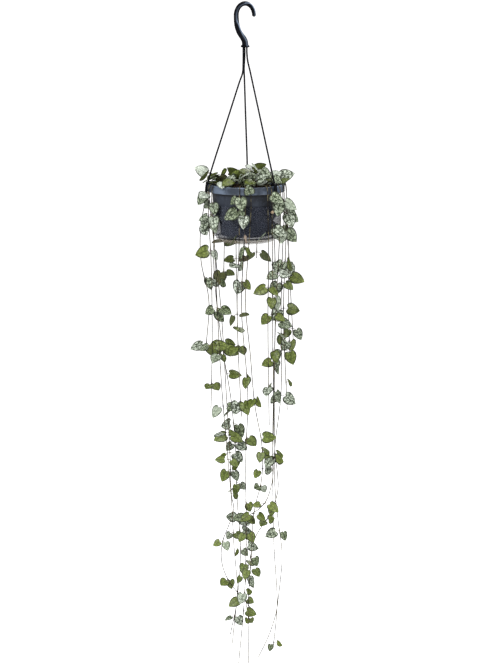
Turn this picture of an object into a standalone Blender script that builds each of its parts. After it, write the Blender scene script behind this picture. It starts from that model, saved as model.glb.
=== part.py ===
"""Hanging pot planted with a string of hearts.

The origin is the inside of the hook's crown, the point that the whole thing hangs from. +Z is up and
the front is towards -Y. Lengths below are millimetres; add_object() turns them into metres.
"""

import math
import random

import bmesh
import bpy
import numpy as np
from mathutils import Vector
from mathutils.bvhtree import BVHTree

MM = 0.001
CLEARANCE = 0.3

# Hook: a flat-sided rod whose centre line is half an ellipse, then an S-bend down to the collar
HOOK_CROWN_CENTRE = (-1.4, -15.5)
HOOK_CROWN_HALF_AXES = (14.1, 19.1)
HOOK_TIP_ANGLE = math.radians(-6)
HOOK_SHANK_HANDLES = ((-15.5, -50.0), (-1.5, -46.0))
HOOK_FOOT = (-1.3, -62.0)
HOOK_TIP_WIDTH, HOOK_ROD_WIDTH, HOOK_NECK_WIDTH = 6.2, 8.0, 10.0
HOOK_DEPTH = 7.0
COLLAR_RADIUS, COLLAR_TOP, COLLAR_BOTTOM = 7.0, -61.5, -66.0
SOCKET_DEPTH = 4.0

# Strands: socket position under the collar, bend below it, and the bearing of the clip on the rim; the clip's
# heights are from the top of the rim
STRAND_RADIUS = 1.05
STRANDS = {
    "strand_left": {"head": (-4.3, -1.2), "bend": (-4.9, -2.0, -104.0), "bearing": 192.0},
    "strand_right": {"head": (1.4, -1.4), "bend": (2.2, -2.2, -84.0), "bearing": 317.0},
    "strand_rear": {"head": (-2.2, 2.9), "bend": (-3.0, 5.0, -100.0), "bearing": 88.0},
}
CLIP_WIDTH, CLIP_THICKNESS = 5.6, 2.4
CLIP_TOP, CLIP_OUTER_FOOT, CLIP_INNER_FOOT = 5.6, -17.0, -6.0

# Pot: heights are from the origin, and its turned outlines are drawn with this many sides
RIM_TOP = -283.5
RIM_RADIUS, RIM_INNER_RADIUS, RIM_HEIGHT = 62.0, 58.4, 12.0
WALL = 1.8
TURNED_SIDES = 24
POT_WALL_RADIUS, POT_STEP_RADIUS, POT_STEP_Z = 54.0, 51.6, -331.5
POT_FOOT_RADIUS, POT_TAPER_Z, POT_BASE_Z = 40.0, -345.0, -366.0
DRAIN_RADIUS = 5.0
SOIL_TOP = -290.5

# Drip bowl: outlines from its lip down to the edge of its flat base, as (radius, z)
BOWL_LIP_Z, BOWL_BASE_Z, BOWL_BASE_RADIUS = -315.5, -377.2, 38.0
BOWL_OUTSIDE = ((54.9, BOWL_LIP_Z), (55.5, -331.0), (56.4, -345.5), (55.0, -356.5), (51.6, -364.5),
                (49.8, -367.4), (47.0, -368.8), (48.2, -370.6), (45.5, -374.4), (BOWL_BASE_RADIUS, BOWL_BASE_Z))
BOWL_WALL = 1.7
BOWL_INSIDE = ((53.2, BOWL_LIP_Z), (53.8, -331.0), (54.7, -345.5), (53.2, -356.5), (49.6, -363.5), (45.0, -368.0),
               (43.8, -372.5), (36.5, BOWL_BASE_Z + BOWL_WALL))

# Plant
STEM_RADIUS = 0.8
HOLE_RADIUS, HOLE_DEPTH, STEM_DEPTH = 1.5, 12.0, 9.0
HANG_RADIUS = 65.6
LEVEL_STEP = 10.0
STEM_SPACING = 7.0
LONGEST_STRETCH = 26.0
LEAF_GAP = 1.2
PETIOLE_LENGTH, PETIOLE_RADIUS = 6.0, 0.55
PETIOLE_SHARE = 0.35
STEEPEST = 86.0
BLADE_HALF_THICKNESS = 0.75
SINGLE_SHARE = 0.25
LONGEST_DROP, POT_DEPTH = 780.0, 108.0

# Each trailing stem: the bearing where it crosses the rim (degrees from +X towards the rear), the points
# (drop below the rim, x, y) that it hangs through, and the drops at which it carries leaves
TRAILERS = {
    "trailer_left_outer": (182, ((60, -71, -4), (130, -71, -6), (180, -60, -8), (265, -64, -8)),
                           (30, 64, 150, 258)),
    "trailer_left_front": (204, ((110, -56, -27), (260, -54, -24), (360, -56, -20)),
                           (12, 52, 104, 202, 258, 320)),
    "trailer_left_bowed": (214, ((110, -49, -37), (189, -46, -34), (350, -37, -24), (430, -30, -16), (500, -24, -14),
                                 (533, -20, -14), (565, -34, -16), (598, -40, -16), (638, -30, -16), (666, -10, -14),
                                 (688, 10, -12)),
                           (26, 46, 196, 270, 356, 400, 444, 500, 577, 640, 672)),
    "trailer_left_rear": (152, ((110, -50, 30), (197, -41, 28), (355, -31, 20), (435, -26, 14), (500, -24, 10),
                                (580, -20, 10), (690, -16, 6), (735, -26, 4)),
                          (60, 163, 270, 376, 410, 438, 466, 500, 568, 704)),
    "trailer_left_back": (136, ((110, -52, 42), (270, -38, 34), (355, -24, 28), (435, -17, 22), (520, -14, 18),
                                (590, -9, 16), (750, -22, 12)),
                          (262, 312, 392, 424, 456, 488, 545, 566, 596)),
    "trailer_front_short": (261, ((95, -11, -62), (180, -14, -58), (270, -12, -50), (370, -7, -44)),
                            (14, 36, 75, 122, 223, 254, 345)),
    "trailer_front_long": (269, ((95, -3, -63), (180, -7, -56), (350, 3, -40), (425, 0, -34), (590, 0, -24),
                                 (676, -3, -20), (778, -12, -18)),
                           (42, 92, 150, 305, 405, 512, 536, 562, 582, 612, 632, 660, 690)),
    "trailer_front_drift": (277, ((95, 4, -63), (180, -1, -60), (270, 7, -52), (350, 14, -46), (425, 26, -36),
                                  (480, 24, -32), (520, 14, -30), (590, 9, -30), (670, 4, -28), (775, 4, -26)),
                            (10, 340, 404, 428, 456, 484, 530, 600, 618)),
    "trailer_right_front": (302, ((110, 36, -54), (190, 35, -50), (385, 37, -42)),
                            (12, 72, 160, 321)),
    "trailer_right_arched": (309, ((110, 42, -50), (190, 42, -46), (425, 43, -32), (487, 40, -30), (512, 30, -34),
                                   (528, 12, -38), (538, -12, -42)),
                             (64, 176, 205, 264, 330, 440, 512)),
    "trailer_right_sweeping": (327, ((110, 52, -36), (190, 48, -34), (425, 46, -18), (510, 48, -14), (545, 32, -10),
                                     (574, 14, -8), (601, 8, -8), (663, -2, -6), (712, 6, -4)),
                               (24, 140, 218, 282, 442, 544, 640, 706)),
    "trailer_right_long": (338, ((110, 58, -24), (190, 56, -22), (350, 55, -16), (430, 46, -12), (500, 47, -8),
                                 (557, 53, -6), (598, 58, -6), (654, 54, -4), (703, 47, -4), (750, 30, -2),
                                 (770, 20, -2)),
                           (44, 72, 156, 240, 340, 436, 562)),
    "trailer_right_outer": (350, ((110, 63, -11), (190, 60, -10), (365, 66, -8)),
                            (50, 124, 200, 240, 268, 320)),
    "trailer_right_side": (8, ((110, 68, 10), (190, 68, 12), (285, 70, 14)),
                           (35, 68, 150, 256)),
    "trailer_right_far": (26, ((110, 68, 32), (190, 72, 36), (262, 76, 38)),
                          (50, 133, 240)),
    "trailer_right_back": (52, ((110, 46, 52), (190, 47, 48), (430, 43, 30), (590, 45, 22), (695, 50, 18),
                                (758, 44, 16)),
                           (70, 134, 300, 528, 750)),
    "trailer_back_right": (74, ((70, 18, 66), (130, 17, 66)), (25, 70, 120)),
    "trailer_back_left": (104, ((110, -16, 65), (230, -14, 58)), (30, 80, 130, 220)),
    "trailer_back_outer": (120, ((70, -34, 58), (160, -36, 56)), (45, 100, 150)),
}
SHORTEST_LEAF, LONGEST_LEAF = 17.0, 24.0

# Leaves set by hand, at a stem's mark or on a sprig's lower, middle or top knuckle (0, 1, 2): bearing of the
# midrib, droop, bearing and rise of the face, length
POSED = {
    ("trailer_front_short", 14): ((285, 62, 268, 0.4, 22), (200, 50, 255, 0.5, 14)),
    ("trailer_front_short", 36): ((196, 30, 262, 0.4, 23), (312, 25, 290, 0.8, 13)),
    ("trailer_front_short", 75): ((215, 50, 175, 0.5, 17),),
    ("trailer_front_long", 42): ((255, 70, 268, 0.4, 20),),
    ("trailer_front_long", 92): ((215, 60, 200, 0.4, 20), (310, 65, 330, 0.4, 19)),
    ("trailer_front_drift", 10): ((255, -50, 268, 0.3, 19),),
    ("trailer_right_front", 12): ((352, 30, 285, 0.5, 21),),
    ("trailer_right_front", 72): ((190, 38, 185, 0.6, 18),),
    ("trailer_right_arched", 64): ((355, 40, 285, 0.5, 21), (20, 74, 290, 0.4, 20)),
    ("trailer_right_sweeping", 24): ((255, 62, 272, 0.5, 22), (10, 35, 290, 0.7, 22)),
    ("trailer_right_long", 44): ((262, 60, 280, 0.4, 22), (20, 40, 290, 0.5, 22)),
    ("trailer_right_long", 72): ((0, 50, 282, 0.4, 23), (250, 72, 275, 0.4, 19)),
    ("trailer_left_front", 12): ((320, 40, 262, 0.5, 21), (175, 60, 250, 0.5, 20)),
    ("trailer_left_bowed", 26): ((300, 72, 262, 0.4, 18),),
    ("trailer_left_bowed", 46): ((285, 66, 262, 0.4, 20), (170, 30, 230, 0.8, 16)),
    ("sprig_front", 2): ((205, 12, 262, 1.0, 25), (345, 5, 275, 1.2, 18)),
    ("sprig_front_left", 2): ((190, 20, 265, 1.6, 21), (300, 25, 280, 1.8, 18)),
    ("sprig_right_front", 2): ((285, 62, 275, 0.4, 25), (20, -20, 290, 0.6, 18)),
    ("sprig_left", 2): ((175, -25, 262, 0.4, 20), (230, 48, 165, 0.6, 22)),
    ("sprig_left_front", 2): ((215, 35, 150, 0.5, 23), (250, 20, 262, 1.6, 20)),
    ("sprig_right", 2): ((358, -12, 278, 0.4, 22), (330, 25, 285, 1.5, 19)),
}
FLOWER_TRAILER, FLOWER_DROP, FLOWER_LENGTH = "trailer_front_long", 72.0, 17.0
TUBER_TRAILER, TUBER_DROP, TUBER_RADIUS = "trailer_right_arched", 40.0, 2.8

# Each crown sprig: bearing, radius of its foot in the soil, radius of its tip, height of its tip above the rim
SPRIGS = {
    "sprig_left": (186, 38, 58, 17),
    "sprig_left_front": (224, 34, 52, 7),
    "sprig_front_left": (244, 24, 42, 11),
    "sprig_front": (264, 20, 36, 17),
    "sprig_front_right": (288, 26, 46, 9),
    "sprig_right_tall": (304, 16, 36, 26),
    "sprig_right_front": (326, 30, 46, 13),
    "sprig_right": (352, 34, 50, 12),
    "sprig_right_low": (340, 30, 54, 5),
    "sprig_back_right": (30, 30, 48, 8),
    "sprig_back": (62, 34, 52, 5),
    "sprig_back_mid": (100, 28, 46, 8),
    "sprig_back_left": (134, 34, 54, 6),
    "sprig_left_back": (162, 28, 50, 9),
    "sprig_centre": (60, 6, 14, 18),
}
SPRIG_LEAF = 21.0


def clear_scene():
    """Removes every object that the scene holds."""
    for obj in list(bpy.data.objects):
        bpy.data.objects.remove(obj, do_unlink=True)


def make_material(name, colour, roughness, alpha=1.0):
    """A Principled BSDF material of one colour."""
    material = bpy.data.materials.new(name)
    material.use_nodes = True
    shader = material.node_tree.nodes["Principled BSDF"]
    shader.inputs["Base Color"].default_value = (*colour, 1.0)
    shader.inputs["Roughness"].default_value = roughness
    shader.inputs["Alpha"].default_value = alpha
    return material


def add_object(name, points, faces, material, smooth_angle=35.0):
    """A mesh object from points in millimetres, its faces turned outwards."""
    mesh = bpy.data.meshes.new(name)
    mesh.from_pydata([tuple(MM * c for c in point) for point in points], [], faces)
    shape = bmesh.new()
    shape.from_mesh(mesh)
    bmesh.ops.recalc_face_normals(shape, faces=shape.faces)
    shape.to_mesh(mesh)
    shape.free()
    mesh.shade_smooth()
    mesh.set_sharp_from_angle(angle=math.radians(smooth_angle))
    mesh.materials.append(material)
    obj = bpy.data.objects.new(name, mesh)
    bpy.context.scene.collection.objects.link(obj)
    return obj


def apply_boolean(obj, operation, others, solver="EXACT"):
    """Joins or cuts obj with the others, keeps the result as its mesh and removes the others."""
    group = bpy.data.collections.new("operands")
    bpy.context.scene.collection.children.link(group)
    for other in others:
        bpy.context.scene.collection.objects.unlink(other)
        group.objects.link(other)
    modifier = obj.modifiers.new("boolean", "BOOLEAN")
    modifier.operation = operation
    modifier.operand_type = "COLLECTION"
    modifier.collection = group
    modifier.solver = solver
    graph = bpy.context.evaluated_depsgraph_get()
    mesh = bpy.data.meshes.new_from_object(obj.evaluated_get(graph))
    obj.modifiers.remove(modifier)
    obj.data = mesh
    for other in others:
        bpy.data.objects.remove(other, do_unlink=True)
    bpy.data.collections.remove(group)


def turned(name, outline, material, segments):
    """A closed outline of (radius, z) turned about the Z axis by Blender's spin."""
    shape = bmesh.new()
    corners = [shape.verts.new((r * MM, 0, z * MM)) for r, z in outline]
    edges = [shape.edges.new(pair) for pair in zip(corners, corners[1:])]
    if outline[0][0] > 0:
        edges.append(shape.edges.new((corners[-1], corners[0])))
    bmesh.ops.spin(shape, geom=corners + edges, cent=(0, 0, 0), axis=(0, 0, 1), angle=2 * math.pi, steps=segments)
    bmesh.ops.remove_doubles(shape, verts=shape.verts, dist=1e-6)
    bmesh.ops.recalc_face_normals(shape, faces=shape.faces)
    mesh = bpy.data.meshes.new(name)
    shape.to_mesh(mesh)
    shape.free()
    mesh.shade_smooth()
    mesh.set_sharp_from_angle(angle=math.radians(35))
    mesh.materials.append(material)
    obj = bpy.data.objects.new(name, mesh)
    bpy.context.scene.collection.objects.link(obj)
    return obj


def rods(places, radius, bottom, top, sides):
    """Points and faces of upright prisms, one at each (x, y) place."""
    points, faces = [], []
    for x, y in places:
        first = len(points)
        for z in (bottom, top):
            for k in range(sides):
                turn = 2 * math.pi * k / sides
                points.append((x + radius * math.cos(turn), y + radius * math.sin(turn), z))
        ring = list(range(sides))
        faces.append([first + k for k in reversed(ring)])
        faces.append([first + sides + k for k in ring])
        faces += [[first + k, first + (k + 1) % sides, first + sides + (k + 1) % sides, first + sides + k]
                  for k in ring]
    return points, faces


def cutter(name, points, faces):
    """A cutter: left out of renders and drawn as a wire."""
    obj = add_object(name, points, faces, bpy.data.materials["soil"])
    obj.hide_render = True
    obj.display_type = "WIRE"
    return obj


def polar(radius, bearing, z):
    """A point by its distance from the Z axis and its bearing in degrees."""
    turn = math.radians(bearing)
    return np.array((radius * math.cos(turn), radius * math.sin(turn), z))


def smooth_between(drops, values, at):
    """Cubic Hermite through values at drops, with the slope at each drop taken from its neighbours."""
    slopes = np.gradient(values, drops, axis=0)
    k = np.clip(np.searchsorted(drops, at, side="right") - 1, 0, len(drops) - 2)
    span = (drops[k + 1] - drops[k])[:, None]
    t = np.clip((at[:, None] - drops[k][:, None]) / span, 0, 1)
    return ((2 * t**3 - 3 * t**2 + 1) * values[k] + (t**3 - 2 * t**2 + t) * span * slopes[k]
            + (3 * t**2 - 2 * t**3) * values[k + 1] + (t**3 - t**2) * span * slopes[k + 1])


def sweep(path, sections):
    """A closed tube: each section is a ring of (across, along_normal) offsets carried on a point of the path."""
    path = np.asarray(path, float)
    ahead = np.gradient(path, axis=0)
    ahead /= np.linalg.norm(ahead, axis=1)[:, None]
    side = np.cross(ahead[0], (0.0, 1.0, 0.0) if abs(ahead[0][1]) < 0.9 else (1.0, 0.0, 0.0))
    points = []
    for place, forward, section in zip(path, ahead, sections):
        side = side - forward * side.dot(forward)
        side /= np.linalg.norm(side)
        normal = np.cross(forward, side)
        points += [place + a * side + b * normal for a, b in section]
    sides, rings = len(sections[0]), len(path)
    faces = [[r * sides + k, r * sides + (k + 1) % sides, (r + 1) * sides + (k + 1) % sides, (r + 1) * sides + k]
             for r in range(rings - 1) for k in range(sides)]
    faces += [list(range(sides))[::-1], [(rings - 1) * sides + k for k in range(sides)]]
    return points, faces


def round_section(radius, sides):
    """A regular polygon for sweep()."""
    return [(radius * math.cos(2 * math.pi * k / sides), radius * math.sin(2 * math.pi * k / sides))
            for k in range(sides)]


def hook_path():
    """Centre line of the hook from its tip: half an ellipse, then one cubic curve to the collar, as (x, z, width)."""
    line = []
    crown_steps, shank_steps = 9, 7
    half_x, half_z = HOOK_CROWN_HALF_AXES
    for k in range(crown_steps):
        part = k / crown_steps
        turn = HOOK_TIP_ANGLE + part * (math.pi - HOOK_TIP_ANGLE)
        width = HOOK_TIP_WIDTH + (HOOK_ROD_WIDTH - HOOK_TIP_WIDTH) * part
        line.append((HOOK_CROWN_CENTRE[0] + half_x * math.cos(turn),
                     HOOK_CROWN_CENTRE[1] + half_z * math.sin(turn), width))
    start = np.array((HOOK_CROWN_CENTRE[0] - half_x, HOOK_CROWN_CENTRE[1]))
    handle_a, handle_b, end = (np.array(p) for p in (*HOOK_SHANK_HANDLES, HOOK_FOOT))
    for k in range(shank_steps + 1):
        t = k / shank_steps
        place = (1 - t)**3 * start + 3 * t * (1 - t)**2 * handle_a + 3 * t * t * (1 - t) * handle_b + t**3 * end
        line.append((*place, HOOK_ROD_WIDTH + (HOOK_NECK_WIDTH - HOOK_ROD_WIDTH) * t))
    return line


def flat_rod_section(width, depth):
    """An octagon: a rectangle of this width and depth with its corners taken off."""
    a, b, cut = width / 2, depth / 2, 0.3 * min(width, depth)
    return [(a, b - cut), (a - cut, b), (cut - a, b), (-a, b - cut), (-a, cut - b), (cut - a, -b), (a - cut, -b),
            (a, cut - b)]


def build_hook(material):
    """The hook's rod, its flared collar, and the sockets for the strands' heads."""
    line = hook_path()
    path = [(x, 0, z) for x, z, width in line]
    sections = [flat_rod_section(width, HOOK_DEPTH) for x, z, width in line]
    sections[0] = flat_rod_section(HOOK_TIP_WIDTH * 0.7, HOOK_DEPTH * 0.7)
    obj = add_object("hook", *sweep(path, sections), material, smooth_angle=30)
    centre = HOOK_FOOT[0]
    neck = HOOK_NECK_WIDTH / 2
    collar_path = [(centre, 0, z) for z in (COLLAR_TOP + 3.0, COLLAR_TOP, COLLAR_BOTTOM + 1.5, COLLAR_BOTTOM)]
    radii = (neck - 0.8, neck + 0.4, COLLAR_RADIUS, COLLAR_RADIUS - 0.6)
    collar = add_object("collar", *sweep(collar_path, [round_section(r, 12) for r in radii]), material)
    apply_boolean(obj, "UNION", [collar])
    sockets = [data["head"] for data in STRANDS.values()]
    holes = cutter("sockets", *rods(sockets, STRAND_RADIUS + CLEARANCE + 0.1, COLLAR_BOTTOM - 2,
                                    COLLAR_BOTTOM + SOCKET_DEPTH, 6))
    apply_boolean(obj, "DIFFERENCE", [holes])
    return obj


def strand_path(data):
    """A strand's line: down out of its socket, through its bend, then straight to its clip on the rim."""
    head = np.array((*data["head"], COLLAR_BOTTOM + SOCKET_DEPTH - 1.0))
    bend = np.array(data["bend"])
    end = polar(RIM_RADIUS - 0.5, data["bearing"], RIM_TOP + CLIP_TOP)
    below = head * (1, 1, 0) + np.array((0, 0, 0.45 * head[2] + 0.55 * bend[2]))
    before_end = end + polar(4.0, data["bearing"] + 180, 13.0)
    after_bend = bend + (before_end - bend) * 0.12
    return [head, below, (bend + below) / 2 + (bend - after_bend) * 0.02, bend, after_bend,
            bend + (before_end - bend) * 0.55, before_end, end]


def build_strand(name, data, material):
    """A thin line with a clip, saddle shaped, that stands over the rim."""
    path = strand_path(data)
    obj = add_object(name, *sweep(path, [round_section(STRAND_RADIUS, 6)] * len(path)), material)
    inner = RIM_INNER_RADIUS * math.cos(math.pi / TURNED_SIDES) - CLEARANCE
    outer = RIM_RADIUS + CLEARANCE
    outline = ((inner - CLIP_THICKNESS, CLIP_INNER_FOOT), (inner - CLIP_THICKNESS, CLIP_TOP - 2.0),
               (inner - 0.6, CLIP_TOP), (outer + 1.2, CLIP_TOP), (outer + CLIP_THICKNESS, CLIP_TOP - 1.6),
               (outer + CLIP_THICKNESS + 1.0, CLIP_OUTER_FOOT + 3.0), (outer + 1.4, CLIP_OUTER_FOOT),
               (outer, CLIP_OUTER_FOOT + 2.0), (outer, CLEARANCE + 0.1), (inner, CLEARANCE + 0.1),
               (inner, CLIP_INNER_FOOT))
    across = polar(CLIP_WIDTH / 2, data["bearing"] + 90, 0)
    points = [polar(r, data["bearing"], RIM_TOP + z) + s * across for s in (-1, 1) for r, z in outline]
    count = len(outline)
    faces = [list(range(count)), list(range(count, 2 * count))[::-1]]
    faces += [[k, (k + 1) % count, count + (k + 1) % count, count + k] for k in range(count)]
    clip = add_object("clip", points, faces, material)
    apply_boolean(obj, "UNION", [clip])
    return obj


def pot_outside():
    """The pot's outer outline as (radius, z), from the top of the rim to the edge of the base."""
    return [(RIM_RADIUS - 0.8, RIM_TOP), (RIM_RADIUS, RIM_TOP - 0.8), (RIM_RADIUS, RIM_TOP - RIM_HEIGHT),
            (POT_WALL_RADIUS, RIM_TOP - RIM_HEIGHT), (POT_STEP_RADIUS, POT_STEP_Z),
            (POT_FOOT_RADIUS + 2, POT_TAPER_Z), (POT_FOOT_RADIUS, POT_BASE_Z)]


def pot_inside():
    """The pot's inner outline, from the floor's edge up to the rim."""
    return [(POT_FOOT_RADIUS - WALL, POT_BASE_Z + WALL), (POT_FOOT_RADIUS + 2 - WALL, POT_TAPER_Z + 0.6),
            (POT_STEP_RADIUS - WALL, POT_STEP_Z + 0.6), (POT_WALL_RADIUS - WALL, RIM_TOP - RIM_HEIGHT - 2.0),
            (RIM_INNER_RADIUS, RIM_TOP - RIM_HEIGHT + 3.0), (RIM_INNER_RADIUS, RIM_TOP)]


def build_pot(material):
    """The pot, turned, with a round drain hole in the middle of its base."""
    outline = [(DRAIN_RADIUS, POT_BASE_Z + WALL), *pot_inside(), *pot_outside(), (DRAIN_RADIUS, POT_BASE_Z)]
    return turned("pot", outline, material, TURNED_SIDES)


def build_bowl(material):
    """The drip bowl, turned from its two outlines."""
    outline = [(0, BOWL_BASE_Z), *reversed(BOWL_OUTSIDE), *BOWL_INSIDE, (0, BOWL_BASE_Z + BOWL_WALL)]
    return turned("drip_bowl", outline, material, TURNED_SIDES)


def build_soil(places, material):
    """Soil that fills the pot, with a plain hole at each of the stems' places."""
    inside = [(r - CLEARANCE - 0.1, z) for r, z in pot_inside()[:4]]
    floor = POT_BASE_Z + WALL + CLEARANCE
    outline = [(0, SOIL_TOP + 1.5), (inside[3][0] - 4.0, SOIL_TOP), (inside[3][0] - 0.3, SOIL_TOP - 2.5),
               *reversed(inside[1:]), (inside[0][0], floor), (0, floor)]
    obj = turned("soil", outline, material, TURNED_SIDES)
    holes = cutter("stem_holes", *rods(places, HOLE_RADIUS, SOIL_TOP - HOLE_DEPTH, SOIL_TOP + 6.0, 4))
    apply_boolean(obj, "DIFFERENCE", [holes])
    return obj


class Trailer:
    """One stem: its route from the soil to its tip, and where its leaves sit."""

    def __init__(self, name, bearing, over_rim, drops, places):
        self.name = name
        self.bearing = bearing
        self.over_rim = over_rim
        self.drops = drops
        self.places = places

    def at(self, drop):
        """The point of the hanging stretch that lies this far below the rim."""
        x, y = smooth_between(self.drops, self.places, np.array([float(drop)]))[0]
        return np.array((x, y, RIM_TOP - drop))

    def stops(self, leaves_at, step):
        """(place, leaves) from the soil to the tip, at each mark of leaves_at and between, at most a step apart."""
        marks = sorted({8.0, float(self.drops[-1]), *leaves_at})
        stops = [(place, []) for place in self.over_rim]
        for first, second in zip(marks, marks[1:]):
            count = max(1, math.ceil((second - first) / step))
            for k in range(count):
                drop = first + (second - first) * k / count
                stops.append((self.at(drop), leaves_at.get(drop, [])))
        return stops + [(self.at(marks[-1]), [])]


def over_rim(bearing, foot_radius):
    """A stem's way out of the soil and over the rim."""
    clear = STEM_RADIUS + CLEARANCE
    soil = SOIL_TOP - STEM_DEPTH
    return [polar(foot_radius, bearing, soil), polar(foot_radius, bearing, SOIL_TOP + 2.0),
            polar(foot_radius + 3.0, bearing, RIM_TOP + 0.5), polar(RIM_INNER_RADIUS - 3.0, bearing, RIM_TOP + 2.2),
            polar(RIM_RADIUS - 1.4, bearing, RIM_TOP + clear + 0.25),
            polar(RIM_RADIUS + clear + 0.2, bearing, RIM_TOP - 1.0)]


def spread(trailers):
    """Pushes stems that hang closer than STEM_SPACING apart, level by level, and smooths each one's pushes."""
    levels = np.arange(0.0, 790.0, LEVEL_STEP)
    first_free = 4
    course = np.array([smooth_between(t.drops, t.places, np.minimum(levels, t.drops[-1])) for t in trailers])
    present = np.array([levels <= t.drops[-1] + LEVEL_STEP for t in trailers])
    moved = np.zeros_like(course)
    for _ in range(120):
        gap = (course + moved)[:, None] - (course + moved)[None, :]
        distance = np.linalg.norm(gap, axis=-1) + 1e-6
        near = (distance < STEM_SPACING) & present[:, None] & present[None, :]
        near[np.arange(len(trailers)), np.arange(len(trailers))] = False
        push = np.where(near[..., None], gap / distance[..., None] * (STEM_SPACING - distance)[..., None], 0).sum(1)
        push[:, :first_free] = 0
        moved += 0.3 * push
        moved[:, first_free:-1] = 0.7 * moved[:, first_free:-1] + 0.15 * (
            moved[:, first_free - 1:-2] + moved[:, first_free + 1:])
    for trailer, row in zip(trailers, course + moved):
        last = trailer.drops[-1]
        keep = levels < last - LEVEL_STEP / 2
        end = [np.interp(last, levels, row[:, axis]) for axis in (0, 1)]
        trailer.drops = np.append(levels[keep], last)
        trailer.places = np.vstack((row[keep], end))


def make_trailers():
    """Every trailing stem's route, spread so that none of them meet."""
    trailers = []
    for number, (name, (bearing, course, marks)) in enumerate(TRAILERS.items()):
        drops = [0.0, 30.0] + [float(d) for d, x, y in course]
        hang = polar(HANG_RADIUS, bearing, 0)[:2]
        places = [hang - polar(1.0, bearing, 0)[:2], hang] + [np.array((x, y), float) for d, x, y in course]
        foot = 46.0 - 4.0 * (number % 2)
        trailers.append(Trailer(name, bearing, over_rim(bearing, foot), np.array(drops), np.array(places)))
    spread(trailers)
    return trailers


def sprig_route(bearing, foot_radius, tip_radius, height):
    """A crown sprig's stem: straight up out of its hole, then leaning outwards to its tip."""
    tip = polar(tip_radius, bearing, RIM_TOP + height)
    foot = polar(foot_radius, bearing, SOIL_TOP - STEM_DEPTH)
    rise = polar(foot_radius, bearing, SOIL_TOP + 3.0)
    lean = polar(foot_radius + 0.35 * (tip_radius - foot_radius), bearing, RIM_TOP + 0.7 * height)
    return [foot, rise, lean, tip, tip + (tip - lean) / np.linalg.norm(tip - lean) * 2.0]


# A heart in its own plane: along its midrib and across it, as shares of its length and its width
HEART = ((-0.16, 0.25), (0.20, 0.5), (0.66, 0.33))
CROWN_AT = 0.38


def leaf_points(base, along, normal, length, swell=0.0):
    """The 9 blade points after the petiole's ring: 3 on each side of the heart, the tip and the faces' crowns."""
    across = np.cross(normal, along)
    width = 0.98 * length + 2 * swell
    droop = 0.05 * length
    sides = []
    for side in (1, -1):
        for u, v in HEART:
            out = u * (length + swell) - (swell * 0.5 if u < 0 else 0)
            sides.append(base + along * out + across * side * v * width - normal * (droop * 4 * v * v))
    tip = base + along * (length + swell) - normal * (1.6 * droop)
    crown = base + along * (CROWN_AT * length)
    half = BLADE_HALF_THICKNESS + swell
    return sides + [tip, crown + normal * half, crown - normal * half]


def blade_faces(ring, first):
    """Faces of one leaf: ring holds the petiole's end (top, left, bottom, right), first the blade's first point."""
    top, left, bottom, right = ring
    l1, l2, l3, r1, r2, r3, tip, over, under = range(first, first + 9)
    faces = []
    for face_top, crown in ((top, over), (bottom, under)):
        turn = 1 if crown == over else -1
        half = [(face_top, left, l1), (face_top, l1, crown), (l1, l2, crown), (l2, l3, crown), (l3, tip, crown),
                (right, face_top, r1), (r1, face_top, crown), (r2, r1, crown), (r3, r2, crown), (tip, r3, crown)]
        faces += [face[::turn] for face in half]
    return faces


class Leaf:
    """A leaf's place: the petiole's foot and end, the way that its blade points, and its size."""

    def __init__(self, foot, azimuth, droop, facing, rise, length, petiole):
        out = polar(1.0, azimuth, 0.0)
        down = math.radians(droop)
        self.foot = foot
        self.length = length
        self.way = out * math.cos(PETIOLE_SHARE * down) - np.array((0, 0, math.sin(PETIOLE_SHARE * down)))
        self.base = foot + self.way * petiole
        self.along = out * math.cos(down) - np.array((0, 0, math.sin(down)))
        wanted = polar(1.0, facing, rise)
        normal = wanted - self.along * wanted.dot(self.along)
        self.normal = normal / np.linalg.norm(normal)

    def swollen(self, swell):
        """The blade and petiole, made thicker by swell all round, to test for room."""
        ring = petiole_ring(self.base, self.along, self.normal, PETIOLE_RADIUS + swell)
        start = petiole_ring(self.foot + self.way * 2.6, self.way, self.normal, PETIOLE_RADIUS + 0.5 * swell)
        points = ring + leaf_points(self.base, self.along, self.normal, self.length, swell) + start
        faces = blade_faces((0, 1, 2, 3), 4) + [(13 + k, 13 + (k + 1) % 4, (k + 1) % 4, k) for k in range(4)]
        return points, faces


def petiole_ring(centre, along, normal, radius):
    """Four points round a petiole: top, left, bottom, right."""
    across = np.cross(normal, along)
    across /= np.linalg.norm(across)
    up = np.cross(along, across)
    return [centre + up * radius, centre + across * radius, centre - up * radius, centre - across * radius]


def tree_of(points, faces):
    """A search tree over a mesh."""
    return BVHTree.FromPolygons([Vector(p) for p in points], faces)


def tube_mesh(path, radius):
    """A four-sided tube along a path, for the search trees."""
    return sweep(path, [round_section(radius, 4)] * len(path))


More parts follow.
